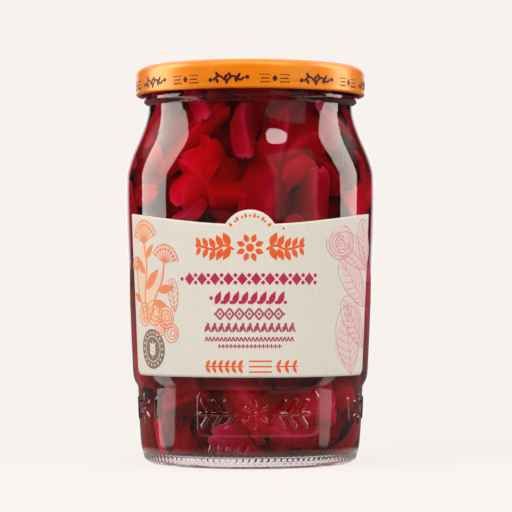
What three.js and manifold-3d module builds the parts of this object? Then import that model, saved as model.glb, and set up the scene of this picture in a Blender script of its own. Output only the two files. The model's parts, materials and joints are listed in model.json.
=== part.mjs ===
import * as THREE from 'three';
import { mergeVertices } from 'three/addons/utils/BufferGeometryUtils.js';
import Module from 'manifold-3d';

// Twist-off glass jar of fermented red cabbage, 720 ml class, with a paper label round its front.
// Millimetres, +Z up, origin at the middle of the base, the label faces -Y.

const wasm = await Module();
wasm.setup();

// Driving dimensions of the whole
const TOTAL_HEIGHT = 146.3;
const ROUND_SIDES = 48;
const GAP = 0.3;

// Glass
const GLASS_WALL = 2.7;
const RING_INNER = 33;
const RING_OUTER = 36.2;
const PUSH_UP = 3.4;
const HEEL_HEIGHT = 2.4;
const HEEL_STEPS = 4;
const FLOOR_EDGE = 4.2;
const FLOOR_MIDDLE = 6.4;
const CORNER_TOP = 11;
const NECK_HEIGHT = 131.6;
const BEAD_RADIUS = 39.75;
const BEAD_LOW = 133.2;
const BEAD_HIGH = 134.6;
const FINISH_RADIUS = 39.3;
const FINISH_LOW = 136;
const MOUTH_RADIUS = 36;
const RIM_ROUND = 0.8;
const BASE_STEPS = 4;

// Outside of the glass wall: height and radius at each turn, from the heel to the neck
const WALL_TURNS = [
  [HEEL_HEIGHT, 39.2],
  [6.6, 40.4],
  [12.2, 40.9],
  [20.2, 41.35],
  [28, 41.65],
  [29.5, 42.4],
  [30.8, 43],
  [32.8, 43.45],
  [41.2, 43.9],
  [59.8, 44.7],
  [78.4, 45.6],
  [93.2, 46.1],
  [101.2, 46.2],
  [105.9, 46.05],
  [108.8, 45.6],
  [112, 44.65],
  [116, 43.1],
  [120, 41.3],
  [124.9, 39.4],
  [129.2, 38.25],
  [NECK_HEIGHT, 38.1],
];

// Heights at which the inside of the glass wall turns, from the neck down to the corner
const INSIDE_HEIGHTS = [NECK_HEIGHT, 125.2, 120, 112.2, 105.2, 93.2, 59.8, 31.4, 27.8, CORNER_TOP];

// Lid
const LID_RADIUS = 42.5;
const LID_SHEET = 0.5;
const LID_SKIRT_LOW = 135.5;
const LID_SHOULDER = 3.2;
const LID_SHOULDER_WIDTH = 4.4;
const LID_SHOULDER_STEPS = 4;
const CURL_RADIUS = 0.9;
const CURL_STEPS = 5;
const CHANNEL_RADIUS = 35.2;
const PANEL_RADIUS = 34.2;
const PANEL_DROP = 0.9;
const BUTTON_RADIUS = 14;
const BUTTON_RISE = 0.5;
const BUTTON_EDGE = 1;

// Label
const LABEL_RADIUS = 46.1;
const LABEL_HALF_WIDTH = 55.4;
const LABEL_LOW = 32.9;
const LABEL_MIDDLE_TOP = 87;
const LABEL_END_RISE = 4.7;
const LABEL_RISE_REACH = 64;
const LABEL_THICKNESS = 0.25;
const MEDALLION_HALF_WIDTH = 8.8;
const MEDALLION_RISE = 5.2;
const LABEL_CORNER = 3;
const LABEL_COLUMN = 4.4;
const LABEL_ROWS = 5;

// Cabbage
const HEAP_LOW = 7.6;
const HEAP_TOP = 132;
const CORE_DEPTH = 4.2;
const CORE_END = 2.5;
const CORE_SIDES = 30;
const LEAF_THICKNESS = 1.3;
const LEAF_CLEARANCE = 0.5;
const LEAF_RINGS = 10;
const LEAVES_ROUND = 7;
const LEAVES_FLAT = 4;
const LEAF_ROWS = 2;
const LEAF_COLUMNS = 3;
const LEAF_SEED = 7;
const LEAF_LENGTHS = [20, 34];
const LEAF_WIDTHS = [8, 15];
const LEAF_END_WIDTH = 0.55;
const LEAF_TILT = 1.2;
const LEAF_BOW = 1.2;
const LEAF_WAVE = 0.8;
const LEAF_SWAY = 1.2;
const LEAF_DEPTH = 1.1;
const END_RING = 6;
const RING_SCATTER = 5;
const FLAT_RADIUS = 19;
const FLAT_LENGTHS = [20, 26];
const FLAT_WIDTHS = [11, 16];
const SQUEEZE = 0.02;
const MERGE_DISTANCE = 1e-4;

const materials = {
  glass: new THREE.MeshStandardMaterial({
    color: 0xe4ece6,
    roughness: 0.03,
    metalness: 0,
    transparent: true,
    opacity: 0.3,
  }),
  lid: new THREE.MeshStandardMaterial({ color: 0xf07a10, roughness: 0.3, metalness: 0.2 }),
  label: new THREE.MeshStandardMaterial({ color: 0xe6e1d4, roughness: 0.85, metalness: 0 }),
  cabbage: new THREE.MeshStandardMaterial({ color: 0x86091f, roughness: 0.35, metalness: 0 }),
};

// Radius of the outside of the glass at a height: a smooth curve through the turns, without overshoot
function wallRadius(height) {
  const last = WALL_TURNS.length - 2;
  const found = WALL_TURNS.findIndex(([turn]) => turn > height) - 1;
  const low = found < 0 ? (height < HEEL_HEIGHT ? 0 : last) : found;
  const span = WALL_TURNS[low + 1][0] - WALL_TURNS[low][0];
  const t = THREE.MathUtils.clamp((height - WALL_TURNS[low][0]) / span, 0, 1);
  const startSlope = turnSlope(low) * span;
  const endSlope = turnSlope(low + 1) * span;
  const start = WALL_TURNS[low][1];
  const rise = WALL_TURNS[low + 1][1] - start;
  const cubic = startSlope + endSlope - 2 * rise;
  const square = 3 * rise - 2 * startSlope - endSlope;
  return start + t * (startSlope + t * (square + t * cubic));
}

// Slope of the wall at one of its turns, the harmonic mean of the slopes on both sides
function turnSlope(turn) {
  const slope = (low) =>
    (WALL_TURNS[low + 1][1] - WALL_TURNS[low][1]) / (WALL_TURNS[low + 1][0] - WALL_TURNS[low][0]);
  if (turn === 0) return slope(0);
  if (turn === WALL_TURNS.length - 1) return 0;
  const below = slope(turn - 1);
  const above = slope(turn);
  return below * above <= 0 ? 0 : (2 * below * above) / (below + above);
}

function insideRadius(height) {
  return wallRadius(height) - GLASS_WALL;
}

// Solid turned round the Z axis from [radius, height] points that start and end on it
function turned(points, sides) {
  const profile = points.map(([radius, height]) => new THREE.Vector2(radius, height));
  return new THREE.LatheGeometry(profile, sides).rotateX(Math.PI / 2);
}

// Quarter of an ellipse from its side to its top, or any part of that, as [radius, height] points
function ellipseArc(centre, halfWidth, halfHeight, fromDegrees, toDegrees, steps) {
  const points = [];
  for (let step = 0; step <= steps; step += 1) {
    const angle = THREE.MathUtils.degToRad(fromDegrees + ((toDegrees - fromDegrees) * step) / steps);
    points.push([centre[0] + halfWidth * Math.cos(angle), centre[1] + halfHeight * Math.sin(angle)]);
  }
  return points;
}

function glassProfile() {
  const rimTop = TOTAL_HEIGHT - LID_SHEET - GAP;
  const heelWidth = WALL_TURNS[0][1] - RING_OUTER;
  const underside = ellipseArc([0, 0], RING_INNER, PUSH_UP, 90, 0, BASE_STEPS);
  const heel = ellipseArc([RING_OUTER, HEEL_HEIGHT], heelWidth, HEEL_HEIGHT, -90, 0, HEEL_STEPS);
  const outside = WALL_TURNS.slice(1).map(([height, radius]) => [radius, height]);
  const bead = [
    [BEAD_RADIUS, BEAD_LOW],
    [BEAD_RADIUS, BEAD_HIGH],
    [FINISH_RADIUS, FINISH_LOW],
  ];
  const rim = [
    [FINISH_RADIUS, rimTop - RIM_ROUND],
    [FINISH_RADIUS - RIM_ROUND, rimTop],
    [MOUTH_RADIUS + RIM_ROUND, rimTop],
    [MOUTH_RADIUS, rimTop - RIM_ROUND],
  ];
  const inside = INSIDE_HEIGHTS.map((height) => [insideRadius(height), height]);
  const cornerWidth = insideRadius(CORNER_TOP) - RING_INNER;
  const corner = ellipseArc([RING_INNER, CORNER_TOP], cornerWidth, CORNER_TOP - FLOOR_EDGE, -30, -90, 2);
  const floor = ellipseArc([0, FLOOR_EDGE], RING_INNER, FLOOR_MIDDLE - FLOOR_EDGE, 0, 90, BASE_STEPS);
  return [...underside, ...heel, ...outside, ...bead, ...rim, ...inside, ...corner, ...floor.slice(1)];
}

function makeGlass() {
  return turned(glassProfile(), ROUND_SIDES);
}

// Pressed sheet lid: a rounded shoulder round a sunk panel, and a curl along the lower edge
function lidProfile() {
  const shoulderRadius = LID_RADIUS - LID_SHOULDER_WIDTH;
  const shoulderHeight = TOTAL_HEIGHT - LID_SHOULDER;
  const panelTop = TOTAL_HEIGHT - PANEL_DROP;
  const under = TOTAL_HEIGHT - LID_SHEET;
  const curlMiddle = [LID_RADIUS - CURL_RADIUS, LID_SKIRT_LOW + CURL_RADIUS];
  const underside = [
    [0, panelTop + BUTTON_RISE - LID_SHEET],
    [BUTTON_RADIUS, panelTop + BUTTON_RISE - LID_SHEET],
    [BUTTON_RADIUS + BUTTON_EDGE, panelTop - LID_SHEET],
    [PANEL_RADIUS, panelTop - LID_SHEET],
    [CHANNEL_RADIUS, under],
  ];
  const insideShoulder = ellipseArc(
    [shoulderRadius, shoulderHeight], LID_SHOULDER_WIDTH - LID_SHEET, LID_SHOULDER - LID_SHEET, 90, 0, 2,
  );
  const curl = ellipseArc(curlMiddle, CURL_RADIUS, CURL_RADIUS, 75, 360, CURL_STEPS);
  const shoulder = ellipseArc(
    [shoulderRadius, shoulderHeight], LID_SHOULDER_WIDTH, LID_SHOULDER, 0, 90, LID_SHOULDER_STEPS,
  );
  const panel = [
    [CHANNEL_RADIUS + LID_SHEET, TOTAL_HEIGHT],
    [PANEL_RADIUS + LID_SHEET, panelTop],
    [BUTTON_RADIUS + BUTTON_EDGE, panelTop],
    [BUTTON_RADIUS, panelTop + BUTTON_RISE],
    [0, panelTop + BUTTON_RISE],
  ];
  return [...underside, ...insideShoulder, ...curl, ...shoulder, ...panel];
}

function makeLid() {
  return turned(lidProfile(), ROUND_SIDES);
}

// Closed sheet between two grids of points with the same rows and columns.
// Seen from the front, columns run to the right and rows run up.
function sheetGeometry(front, back) {
  const rows = front.length;
  const columns = front[0].length;
  const backStart = rows * columns;
  const at = (row, column) => row * columns + column;
  const index = [];
  const addQuad = (a, b, c, d) => index.push(a, b, c, a, c, d);
  for (let row = 0; row < rows - 1; row += 1) {
    for (let column = 0; column < columns - 1; column += 1) {
      const a = at(row, column);
      const b = at(row, column + 1);
      const c = at(row + 1, column + 1);
      const d = at(row + 1, column);
      addQuad(a, b, c, d);
      addQuad(a + backStart, d + backStart, c + backStart, b + backStart);
    }
  }
  const border = borderLoop(rows, columns, at);
  border.forEach((from, place) => {
    const to = border[(place + 1) % border.length];
    addQuad(from + backStart, to + backStart, to, from);
  });
  const geometry = new THREE.BufferGeometry();
  const coordinates = [...front.flat(), ...back.flat()].flatMap((point) => point.toArray());
  geometry.setAttribute('position', new THREE.Float32BufferAttribute(coordinates, 3));
  geometry.setIndex(index);
  geometry.computeVertexNormals();
  return geometry;
}

// Indices round the edge of a grid, anticlockwise seen from its front
function borderLoop(rows, columns, at) {
  const loop = [];
  for (let column = 0; column < columns - 1; column += 1) loop.push(at(0, column));
  for (let row = 0; row < rows - 1; row += 1) loop.push(at(row, columns - 1));
  for (let column = columns - 1; column > 0; column -= 1) loop.push(at(rows - 1, column));
  for (let row = rows - 1; row > 0; row -= 1) loop.push(at(row, 0));
  return loop;
}

// Point on the label, whose sides are straight lines down the jar: arcs are measured at one radius
function labelPoint(radius, arc, height) {
  const angle = arc / LABEL_RADIUS;
  return new THREE.Vector3(radius * Math.sin(angle), -radius * Math.cos(angle), height);
}

// Upper edge of the label: a shallow hollow curve with a half-round medallion at its middle
function labelTop(arc) {
  const sweep = (1 - Math.cos((Math.PI * arc) / LABEL_RISE_REACH)) / 2;
  const edge = LABEL_MIDDLE_TOP + LABEL_END_RISE * sweep;
  if (Math.abs(arc) >= MEDALLION_HALF_WIDTH) return edge;
  const radius = (MEDALLION_HALF_WIDTH ** 2 + MEDALLION_RISE ** 2) / (2 * MEDALLION_RISE);
  const medallion = LABEL_MIDDLE_TOP + MEDALLION_RISE - radius + Math.sqrt(radius ** 2 - arc ** 2);
  return Math.max(edge, medallion);
}

// Lower edge of the label, flat between two rounded corners
function labelBottom(arc) {
  const past = Math.abs(arc) - (LABEL_HALF_WIDTH - LABEL_CORNER);
  if (past <= 0) return LABEL_LOW;
  return LABEL_LOW + LABEL_CORNER - Math.sqrt(LABEL_CORNER ** 2 - Math.min(past, LABEL_CORNER) ** 2);
}

// Arc lengths of the label's columns, closer together where its edges turn
function labelColumns() {
  const turns = [0, 0.5, 0.85, 1].map((part) => part * MEDALLION_HALF_WIDTH);
  const cornerStart = LABEL_HALF_WIDTH - LABEL_CORNER;
  const between = Math.round((cornerStart - MEDALLION_HALF_WIDTH) / LABEL_COLUMN);
  for (let step = 1; step <= between; step += 1) {
    turns.push(MEDALLION_HALF_WIDTH + ((cornerStart - MEDALLION_HALF_WIDTH) * step) / between);
  }
  const ends = [0.5, 0.87, 1].map((part) => cornerStart + part * LABEL_CORNER);
  const right = [...turns, ...ends];
  const left = right.slice(1).reverse().map((arc) => -arc);
  return [...left, ...right];
}

function makeLabel() {
  const columns = labelColumns();
  const layer = (lift) => {
    const rows = [];
    for (let row = 0; row <= LABEL_ROWS; row += 1) {
      rows.push(columns.map((arc) => {
        const height = THREE.MathUtils.lerp(labelBottom(arc), labelTop(arc), row / LABEL_ROWS);
        return labelPoint(wallRadius(height) + lift, arc, height);
      }));
    }
    return rows;
  };
  return sheetGeometry(layer(GAP + LABEL_THICKNESS), layer(GAP));
}

// Seeded random numbers from 0 to 1
function seededRandom(seed) {
  let state = seed;
  return () => {
    state = (state * 16807) % 2147483647;
    return state / 2147483647;
  };
}

// One cut piece of cabbage leaf, a wavy strip that narrows at its ends.
// place(across, up, depth) puts a point of it on the face of the heap.
function makeLeaf(place, size, random) {
  const phase = random() * Math.PI * 2;
  const bow = (random() - 0.35) * LEAF_BOW;
  const cos = Math.cos(size.tilt);
  const sin = Math.sin(size.tilt);
  const layer = (extraDepth) => {
    const rows = [];
    for (let row = 0; row <= LEAF_ROWS; row += 1) {
      const points = [];
      for (let column = 0; column <= LEAF_COLUMNS; column += 1) {
        const along = column / LEAF_COLUMNS - 0.5;
        const side = row / LEAF_ROWS - 0.5;
        const fullness = LEAF_END_WIDTH + (1 - LEAF_END_WIDTH) * Math.cos(Math.PI * along);
        const x = along * size.length;
        const y = side * size.width * fullness + LEAF_SWAY * Math.sin(along * 4 + phase);
        const wave = LEAF_WAVE * (1 + Math.sin(along * 7 + phase)) + bow * (1 - 4 * side * side);
        const depth = Math.max(0, size.depth + wave) + extraDepth;
        points.push(place(x * cos - y * sin, x * sin + y * cos, depth));
      }
      rows.push(points);
    }
    return rows;
  };
  return sheetGeometry(layer(0), layer(LEAF_THICKNESS));
}

// Pieces that lie against the glass wall, in staggered rings from the floor to the neck
function wallLeaves(random) {
  const leaves = [];
  const low = HEAP_LOW + END_RING;
  const high = HEAP_TOP - END_RING;
  for (let ring = 0; ring < LEAF_RINGS; ring += 1) {
    const ringHeight = THREE.MathUtils.lerp(low, high, ring / (LEAF_RINGS - 1));
    for (let turn = 0; turn < LEAVES_ROUND; turn += 1) {
      const middle = (2 * Math.PI * (turn + 0.5 * (ring % 2) + 0.5 * random())) / LEAVES_ROUND;
      const middleHeight = ringHeight + (random() - 0.5) * RING_SCATTER;
      const size = {
        length: between(LEAF_LENGTHS, random()),
        width: between(LEAF_WIDTHS, random()),
        tilt: (2 * random() - 1) * LEAF_TILT,
        depth: random() * LEAF_DEPTH,
      };
      const place = (across, up, depth) => {
        const height = heldInHeap(middleHeight + up, up);
        const angle = middle + across / insideRadius(ringHeight);
        const radius = cavityRadius(height) - LEAF_CLEARANCE - depth;
        return new THREE.Vector3(radius * Math.sin(angle), -radius * Math.cos(angle), height);
      };
      leaves.push(makeLeaf(place, size, random));
    }
  }
  return leaves;
}

function between([low, high], part) {
  return THREE.MathUtils.lerp(low, high, part);
}

// Height kept between the heap's ends, with what would pass them squeezed thin
function heldInHeap(height, up) {
  return THREE.MathUtils.clamp(height, HEAP_LOW + up * SQUEEZE, HEAP_TOP + up * SQUEEZE);
}

// Inside of the glass at a height, with its rounded corner above the floor
function cavityRadius(height) {
  if (height >= CORNER_TOP) return insideRadius(height);
  const down = (CORNER_TOP - height) / (CORNER_TOP - FLOOR_EDGE);
  const cornerWidth = insideRadius(CORNER_TOP) - RING_INNER;
  return RING_INNER + cornerWidth * Math.sqrt(Math.max(0, 1 - down * down));
}

// Pieces that lie flat on the heap's end, facing up at its top or down at its foot
function flatLeaves(random, level, facing) {
  const leaves = [];
  for (let turn = 0; turn < LEAVES_FLAT; turn += 1) {
    const angle = ((turn + 0.4 * random()) / LEAVES_FLAT) * 2 * Math.PI;
    const centre = [FLAT_RADIUS * Math.cos(angle), FLAT_RADIUS * Math.sin(angle)];
    const size = {
      length: between(FLAT_LENGTHS, random()),
      width: between(FLAT_WIDTHS, random()),
      tilt: angle + Math.PI / 2 + (random() - 0.5),
      depth: random() * LEAF_DEPTH,
    };
    const place = (across, up, depth) =>
      new THREE.Vector3(centre[0] + facing * across, centre[1] + up, level - facing * depth);
    leaves.push(makeLeaf(place, size, random));
  }
  return leaves;
}

// Plain middle of the heap, a leaf's depth inside the pieces that show
function heapCore() {
  const heights = [HEAP_LOW + CORE_END, 15, 27.5, 32, 60, 93, 105, 112, 120, HEAP_TOP - CORE_END];
  const side = heights.map((height) => [cavityRadius(height) - CORE_DEPTH, height]);
  return turned([[0, heights[0]], ...side, [0, heights.at(-1)]], CORE_SIDES);
}

// Closed geometry as a solid that can be joined
function toSolid(geometry) {
  const bare = new THREE.BufferGeometry();
  bare.setAttribute('position', geometry.getAttribute('position').clone());
  bare.setIndex(geometry.getIndex().clone());
  const merged = mergeVertices(bare, MERGE_DISTANCE);
  const corners = Array.from(merged.getIndex().array);
  const triangles = [];
  for (let corner = 0; corner < corners.length; corner += 3) {
    const [a, b, c] = corners.slice(corner, corner + 3);
    if (a !== b && b !== c && c !== a) triangles.push(a, b, c);
  }
  return new wasm.Manifold(new wasm.Mesh({
    numProp: 3,
    vertProperties: new Float32Array(merged.getAttribute('position').array),
    triVerts: new Uint32Array(triangles),
  }));
}

function toGeometry(solid) {
  const mesh = solid.getMesh();
  const geometry = new THREE.BufferGeometry();
  geometry.setAttribute('position', new THREE.BufferAttribute(new Float32Array(mesh.vertProperties), 3));
  geometry.setIndex(new THREE.BufferAttribute(new Uint32Array(mesh.triVerts), 1));
  geometry.computeVertexNormals();
  return geometry;
}

// Heap of cut cabbage: its core and the pieces that show, joined into one solid.
// The largest body alone is kept, which drops loose scraps and fills sealed hollows.
function makeCabbage() {
  const random = seededRandom(LEAF_SEED);
  const leaves = [
    ...wallLeaves(random),
    ...flatLeaves(random, HEAP_LOW, -1),
    ...flatLeaves(random, HEAP_TOP, 1),
  ];
  const joined = leaves.reduce((heap, leaf) => heap.add(toSolid(leaf)), toSolid(heapCore()));
  const bodies = joined.decompose();
  const largest = bodies.reduce((best, body) => (body.volume() > best.volume() ? body : best));
  return toGeometry(largest);
}

function namedMesh(name, geometry, material) {
  const mesh = new THREE.Mesh(geometry, material);
  mesh.name = name;
  return mesh;
}

const jar = new THREE.Group();
jar.add(
  namedMesh('jar_glass', makeGlass(), materials.glass),
  namedMesh('lid', makeLid(), materials.lid),
  namedMesh('label', makeLabel(), materials.label),
  namedMesh('cabbage', makeCabbage(), materials.cabbage),
);

export default jar;
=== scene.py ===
"""A twist-off glass jar packed with fermented red cabbage in brine, with an orange lid and a paper label."""

import json
import math

import bmesh
import bpy
import numpy as np
from bpy.props import FloatProperty, FloatVectorProperty, IntProperty, PointerProperty
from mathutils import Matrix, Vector

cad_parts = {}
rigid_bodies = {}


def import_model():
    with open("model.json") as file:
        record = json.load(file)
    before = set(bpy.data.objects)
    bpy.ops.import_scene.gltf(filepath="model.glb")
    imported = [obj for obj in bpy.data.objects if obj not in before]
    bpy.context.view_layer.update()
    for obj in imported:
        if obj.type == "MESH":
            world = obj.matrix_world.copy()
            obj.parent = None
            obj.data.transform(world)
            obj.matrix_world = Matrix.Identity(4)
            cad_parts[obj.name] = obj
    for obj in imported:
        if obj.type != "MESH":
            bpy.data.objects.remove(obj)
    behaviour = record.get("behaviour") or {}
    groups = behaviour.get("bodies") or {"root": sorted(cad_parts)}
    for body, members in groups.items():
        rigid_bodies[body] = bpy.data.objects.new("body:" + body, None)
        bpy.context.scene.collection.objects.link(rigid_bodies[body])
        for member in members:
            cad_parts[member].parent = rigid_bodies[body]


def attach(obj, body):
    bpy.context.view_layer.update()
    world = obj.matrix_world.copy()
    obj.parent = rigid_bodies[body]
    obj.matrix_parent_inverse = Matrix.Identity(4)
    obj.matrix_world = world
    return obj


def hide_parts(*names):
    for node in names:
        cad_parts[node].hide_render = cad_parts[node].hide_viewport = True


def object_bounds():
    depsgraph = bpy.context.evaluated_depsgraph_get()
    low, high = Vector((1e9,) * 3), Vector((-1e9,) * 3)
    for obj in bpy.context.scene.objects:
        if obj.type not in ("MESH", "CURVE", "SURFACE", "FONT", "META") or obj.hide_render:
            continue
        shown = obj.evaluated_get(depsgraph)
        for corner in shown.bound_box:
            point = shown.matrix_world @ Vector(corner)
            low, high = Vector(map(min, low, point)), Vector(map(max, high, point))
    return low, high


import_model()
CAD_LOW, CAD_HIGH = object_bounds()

bl_info = {
    "name": "Cabbage Jar",
    "version": (1, 0, 0),
    "blender": (4, 5, 0),
    "location": "3D View > Sidebar > Cabbage Jar",
    "description": "Makes a jar of fermented red cabbage with its lid and label, piece by piece",
    "category": "Object",
}

# Outlines are written in millimetres, heights above the base and radii from the jar's axis
MM = 0.001
TOTAL_HEIGHT = CAD_HIGH.z / MM

# The wall's outside: height and radius where its curve turns
WALL_TURNS = (
    (2.4, 39.2), (6.6, 40.4), (12.2, 40.9), (20.2, 41.35), (28, 41.65), (29.5, 42.4), (30.8, 43),
    (32.8, 43.45), (41.2, 43.9), (59.8, 44.7), (78.4, 45.6), (93.2, 46.1), (101.2, 46.2), (105.9, 46.05),
    (108.8, 45.6), (112, 44.65), (116, 43.1), (120, 41.3), (124.9, 39.4), (129.2, 38.25), (131.6, 38.1),
)
RING_INNER = 33
RING_OUTER = 36.2
PUSH_UP = 3.4
HEEL_HEIGHT = 2.4
FLOOR_EDGE = 4.2
FLOOR_MIDDLE = 6.4
CORNER_TOP = 11
SHOULDER_LOW = 105
NECK_HEIGHT = 131.6
BEAD_RADIUS = 39.75
BEAD_MIDDLE = 133.9
FINISH_RADIUS = 39.3
FINISH_LOW = 136
MOUTH_RADIUS = 36
RIM_TOP = 145.5
RIM_ROUND = 1.2

# The pressed belt near the base and its raised ornaments
BELT_RADIUS = 42
BELT_LOW = 10
BELT_HIGH = 28.8
BELT_ROW = 0.35
PANEL_MIDDLE = 4.5
PANEL_HALF = 32
PANEL_LOW = 11.6
PANEL_HIGH = 28.2
PANEL_CORNER = 3.0
PANEL_EDGE = 0.9
BRANCH_MIDDLE = 2.5
BRANCH_START = 7
BRANCH_END = 20
BRANCH_LEAVES = 3
STROKE_HALF = 0.95
SIDE_FLOWERS = (-69, 73)
SIDE_MIDDLE = 20.4
SIDE_RELIEF = 0.55
MARKS = 5
MARK_START = -20.2
MARK_STEP = 4.5
MARK_HEIGHT = 7.3
MARK_HALF = 1.3
MARK_LEAN = 0.5
MARK_RELIEF = 0.8
HEEL_RIBS = 110
RIB_LOW = 1.2
RIB_HIGH = 4.2
RIB_FADE = 0.8
RIB_DEPTH = 0.16

# The wall's unevenness, and steps along the round stretches of its outline
RIPPLE_REACH = 2.6
RIPPLE_LOW = 20
RIPPLE_HIGH = 120
UNDERSIDE_STEPS = 18
HEEL_STEPS = 9
RIM_STEPS = 5
CORNER_STEPS = 10
FLOOR_STEPS = 12

# The lid's outline, and where the ornaments on its skirt lie
LID_SHEET = 0.5
SKIRT_LOW = 135.5
SHOULDER = 3.2
SHOULDER_WIDTH = 4.4
CURL = 0.9
CHANNEL_RADIUS = 35.2
SUNK_RADIUS = 34.2
SUNK_DROP = 0.9
BUTTON_RADIUS = 14
BUTTON_RISE = 0.5
LID_RINGS = (31, 27.5, 24)
ORNAMENT_HEIGHT = 139.0
FIRST_ORNAMENT = -10.5

# The label's outline and the places of its print, with arcs measured round a jar of the label's own radius
LABEL_RADIUS = 46.1
LABEL_HALF = 55.5
LABEL_LOW = 32.9
LABEL_TOP = 87
LABEL_END_RISE = 4.7
LABEL_RISE_REACH = 64
MEDALLION_HALF = 8.8
MEDALLION_RISE = 5.2
LABEL_CORNER = 3
PAPER_LIFT = 0.06
PAPER_THICKNESS = 0.12
INK_DEPTH = 0.02
INK_LAYER = 0.02
CHAIN_MIDDLE = -0.3
TITLE_HEIGHT = 78.8
FOOT_HEIGHT = 36.8
LINE_HEIGHTS = (67.8, 61.1, 55.4, 50.6, 46.5, 44.0)
CURLED_HEAD = (36.4, 80.8)
SEAL_PLACE = (-42.4, 42.6)
SEAL_RADIUS = 7.2

# The filling
PACK_RADIUS = 43
PACK_LOW = 5.4
CORE_LOW = 7.2
PACK_HIGH = 137
BRINE_LEVEL = 139
BRINE_OVERLAP = 0.06
FLOOR_OVERLAP = 0.015
GLASS_TO_BRINE = 1.5 / 1.34
ROUND_ARC = 2 * math.pi * PACK_RADIUS
LEAF_ROWS = 21
LEAF_COLUMNS = 13
FRONT_CLEARANCE = 0.35
DEEP_CLEARANCE = 2.5
CORE_DEPTH = 9.5

# The photograph's viewpoint in metres, the lens, and the colour behind the jar
CAMERA_DISTANCE = 0.88
CAMERA_HEIGHT = 0.066
CAMERA_SIDE = 0.0021
AIM_HEIGHT = 0.0764
LENS = 166.4
PALE = (0.939, 0.888, 0.855)

# The studio: places and sizes of lights in metres, tints, and how bright the surroundings are when not seen
LIGHT_AIM = (0, 0, 0.075)
STUDIO_HEIGHT = 0.08
BIG_LIGHT = (1.2, 1.2)
STRIP_TINT = (1.0, 0.91, 0.86)
TOP_TINT = (1.0, 0.93, 0.75)
DARK_STUDIO = 0.02
LOW_BACK = 1.4
HIGH_BACK = 1.3
BOUNCED_WORLD = (0.45, 0.44, 0.43)

# Brightness of the floor: seen near and far, after a bounce, and in the gloss
FLOOR_NEAR = 0.88
FLOOR_FAR = 0.93
FLOOR_BOUNCED = 0.25
FLOOR_GLOSS = 0.07
FOOT_GLOSS = 1.1

# Half the floor's width, in millimetres
FLOOR_HALF = 6000

# Bands of light on the floor: side, where the band starts, its slopes across, and its brightness
FLOOR_BANDS = (
    (-1, (0.032, -0.025), (-0.16, 0.38), 2.7),
    (1, (0.028, -0.031), (-0.27, 0.04), 2.0),
)


def length(name, description, default, low=0.0, high=1.0):
    """A length in metres that a user can change."""
    return FloatProperty(
        name=name, description=description, default=default, min=low, max=high,
        unit="LENGTH", subtype="DISTANCE", precision=5,
    )


def colour(name, description, default):
    """A colour that a user can change."""
    return FloatVectorProperty(
        name=name, description=description, default=default, size=3, min=0.0, max=1.0, subtype="COLOR",
    )


class GlassSettings(bpy.types.PropertyGroup):
    """Sizes and colour of the glass"""

    wall: length("Wall", "Thickness of the jar's wall", 0.0027, 0.001, 0.006)
    outer_ripple: length("Outer ripple", "Unevenness of the outer face", 0.000006, 0.0, 0.001)
    inner_ripple: length("Inner ripple", "Unevenness of the inner face", 0.00012, 0.0, 0.001)
    relief: length("Relief", "Height of the raised ornaments", 0.0008, 0.0, 0.002)
    panel_relief: length("Panel relief", "Height of the panel behind the ornaments", 0.00035, 0.0, 0.002)
    tint: colour("Tint", "Cast of the glass", (0.965, 0.985, 0.972))


class FillingSettings(bpy.types.PropertyGroup):
    """Numbers, sizes and colours of the filling"""

    columns: IntProperty(name="Pieces round", description="Pieces in a ring at the wall", default=14, min=4)
    rows: IntProperty(name="Rings", description="Rings of pieces, one above the other", default=10, min=2)
    seed: IntProperty(name="Seed", description="Seed of the scatter", default=11, min=0)
    depth: length("Depth", "How far behind the wall the first pieces lie", 0.0032, 0.0, 0.02)
    deep_depth: length("Deep", "How far behind the wall the second pieces lie", 0.0075, 0.0, 0.03)
    dark: colour("Dark leaf", "Colour of the darkest leaves", (0.16, 0.001, 0.02))
    bright: colour("Bright leaf", "Colour of the brightest leaves", (0.88, 0.002, 0.09))
    cut: colour("Cut edge", "Colour of cut edges and ribs", (0.95, 0.22, 0.4))
    brine: colour("Brine", "Colour that the brine lets through", (0.91, 0.0, 0.4))
    density: FloatProperty(
        name="Brine density", description="How strongly the brine colours", default=600.0, min=0.0,
    )


class LidSettings(bpy.types.PropertyGroup):
    """Sizes and colours of the lid"""

    radius: length("Radius", "Outside radius of the skirt", 0.0425, 0.02, 0.08)
    lacquer: colour("Lacquer", "Colour of the lid's lacquer", (0.93, 0.225, 0.001))
    ornament: colour("Ornament", "Colour of the ornaments on the skirt", (0.075, 0.001, 0.006))
    ornaments: IntProperty(name="Ornaments", description="Ornaments round the skirt", default=8, min=2)


class LabelSettings(bpy.types.PropertyGroup):
    """Colours of the label"""

    paper: colour("Paper", "Colour of the paper", (0.8, 0.755, 0.66))
    orange: colour("Orange ink", "Colour of the orange print", (0.88, 0.11, 0.006))
    crimson: colour("Crimson ink", "Colour of the crimson print", (0.52, 0.012, 0.07))
    rose: colour("Rose ink", "Colour of the thin lines", (0.46, 0.06, 0.13))
    soft_orange: colour("Soft orange ink", "Colour of the plants at the left", (0.86, 0.23, 0.07))
    peach: colour("Peach tint", "Pale tint behind the plants at the left", (0.87, 0.6, 0.42))
    pink: colour("Pink ink", "Colour of the plants at the right", (0.7, 0.27, 0.33))
    blush: colour("Blush tint", "Pale tint behind the plants at the right", (0.84, 0.63, 0.6))
    brown: colour("Brown ink", "Colour of the seal", (0.22, 0.13, 0.085))


class StageSettings(bpy.types.PropertyGroup):
    """The camera and the lights"""

    lens: FloatProperty(
        name="Lens", description="Focal length of the camera", default=LENS, min=10.0, unit="CAMERA",
    )
    key_power: FloatProperty(
        name="Key light", description="Power of the key light", default=20.0, min=0.0, unit="POWER",
    )
    strip_radiance: FloatProperty(
        name="Strips", description="Brightness of the two tall strips", default=5.7, min=0.0,
    )


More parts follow.
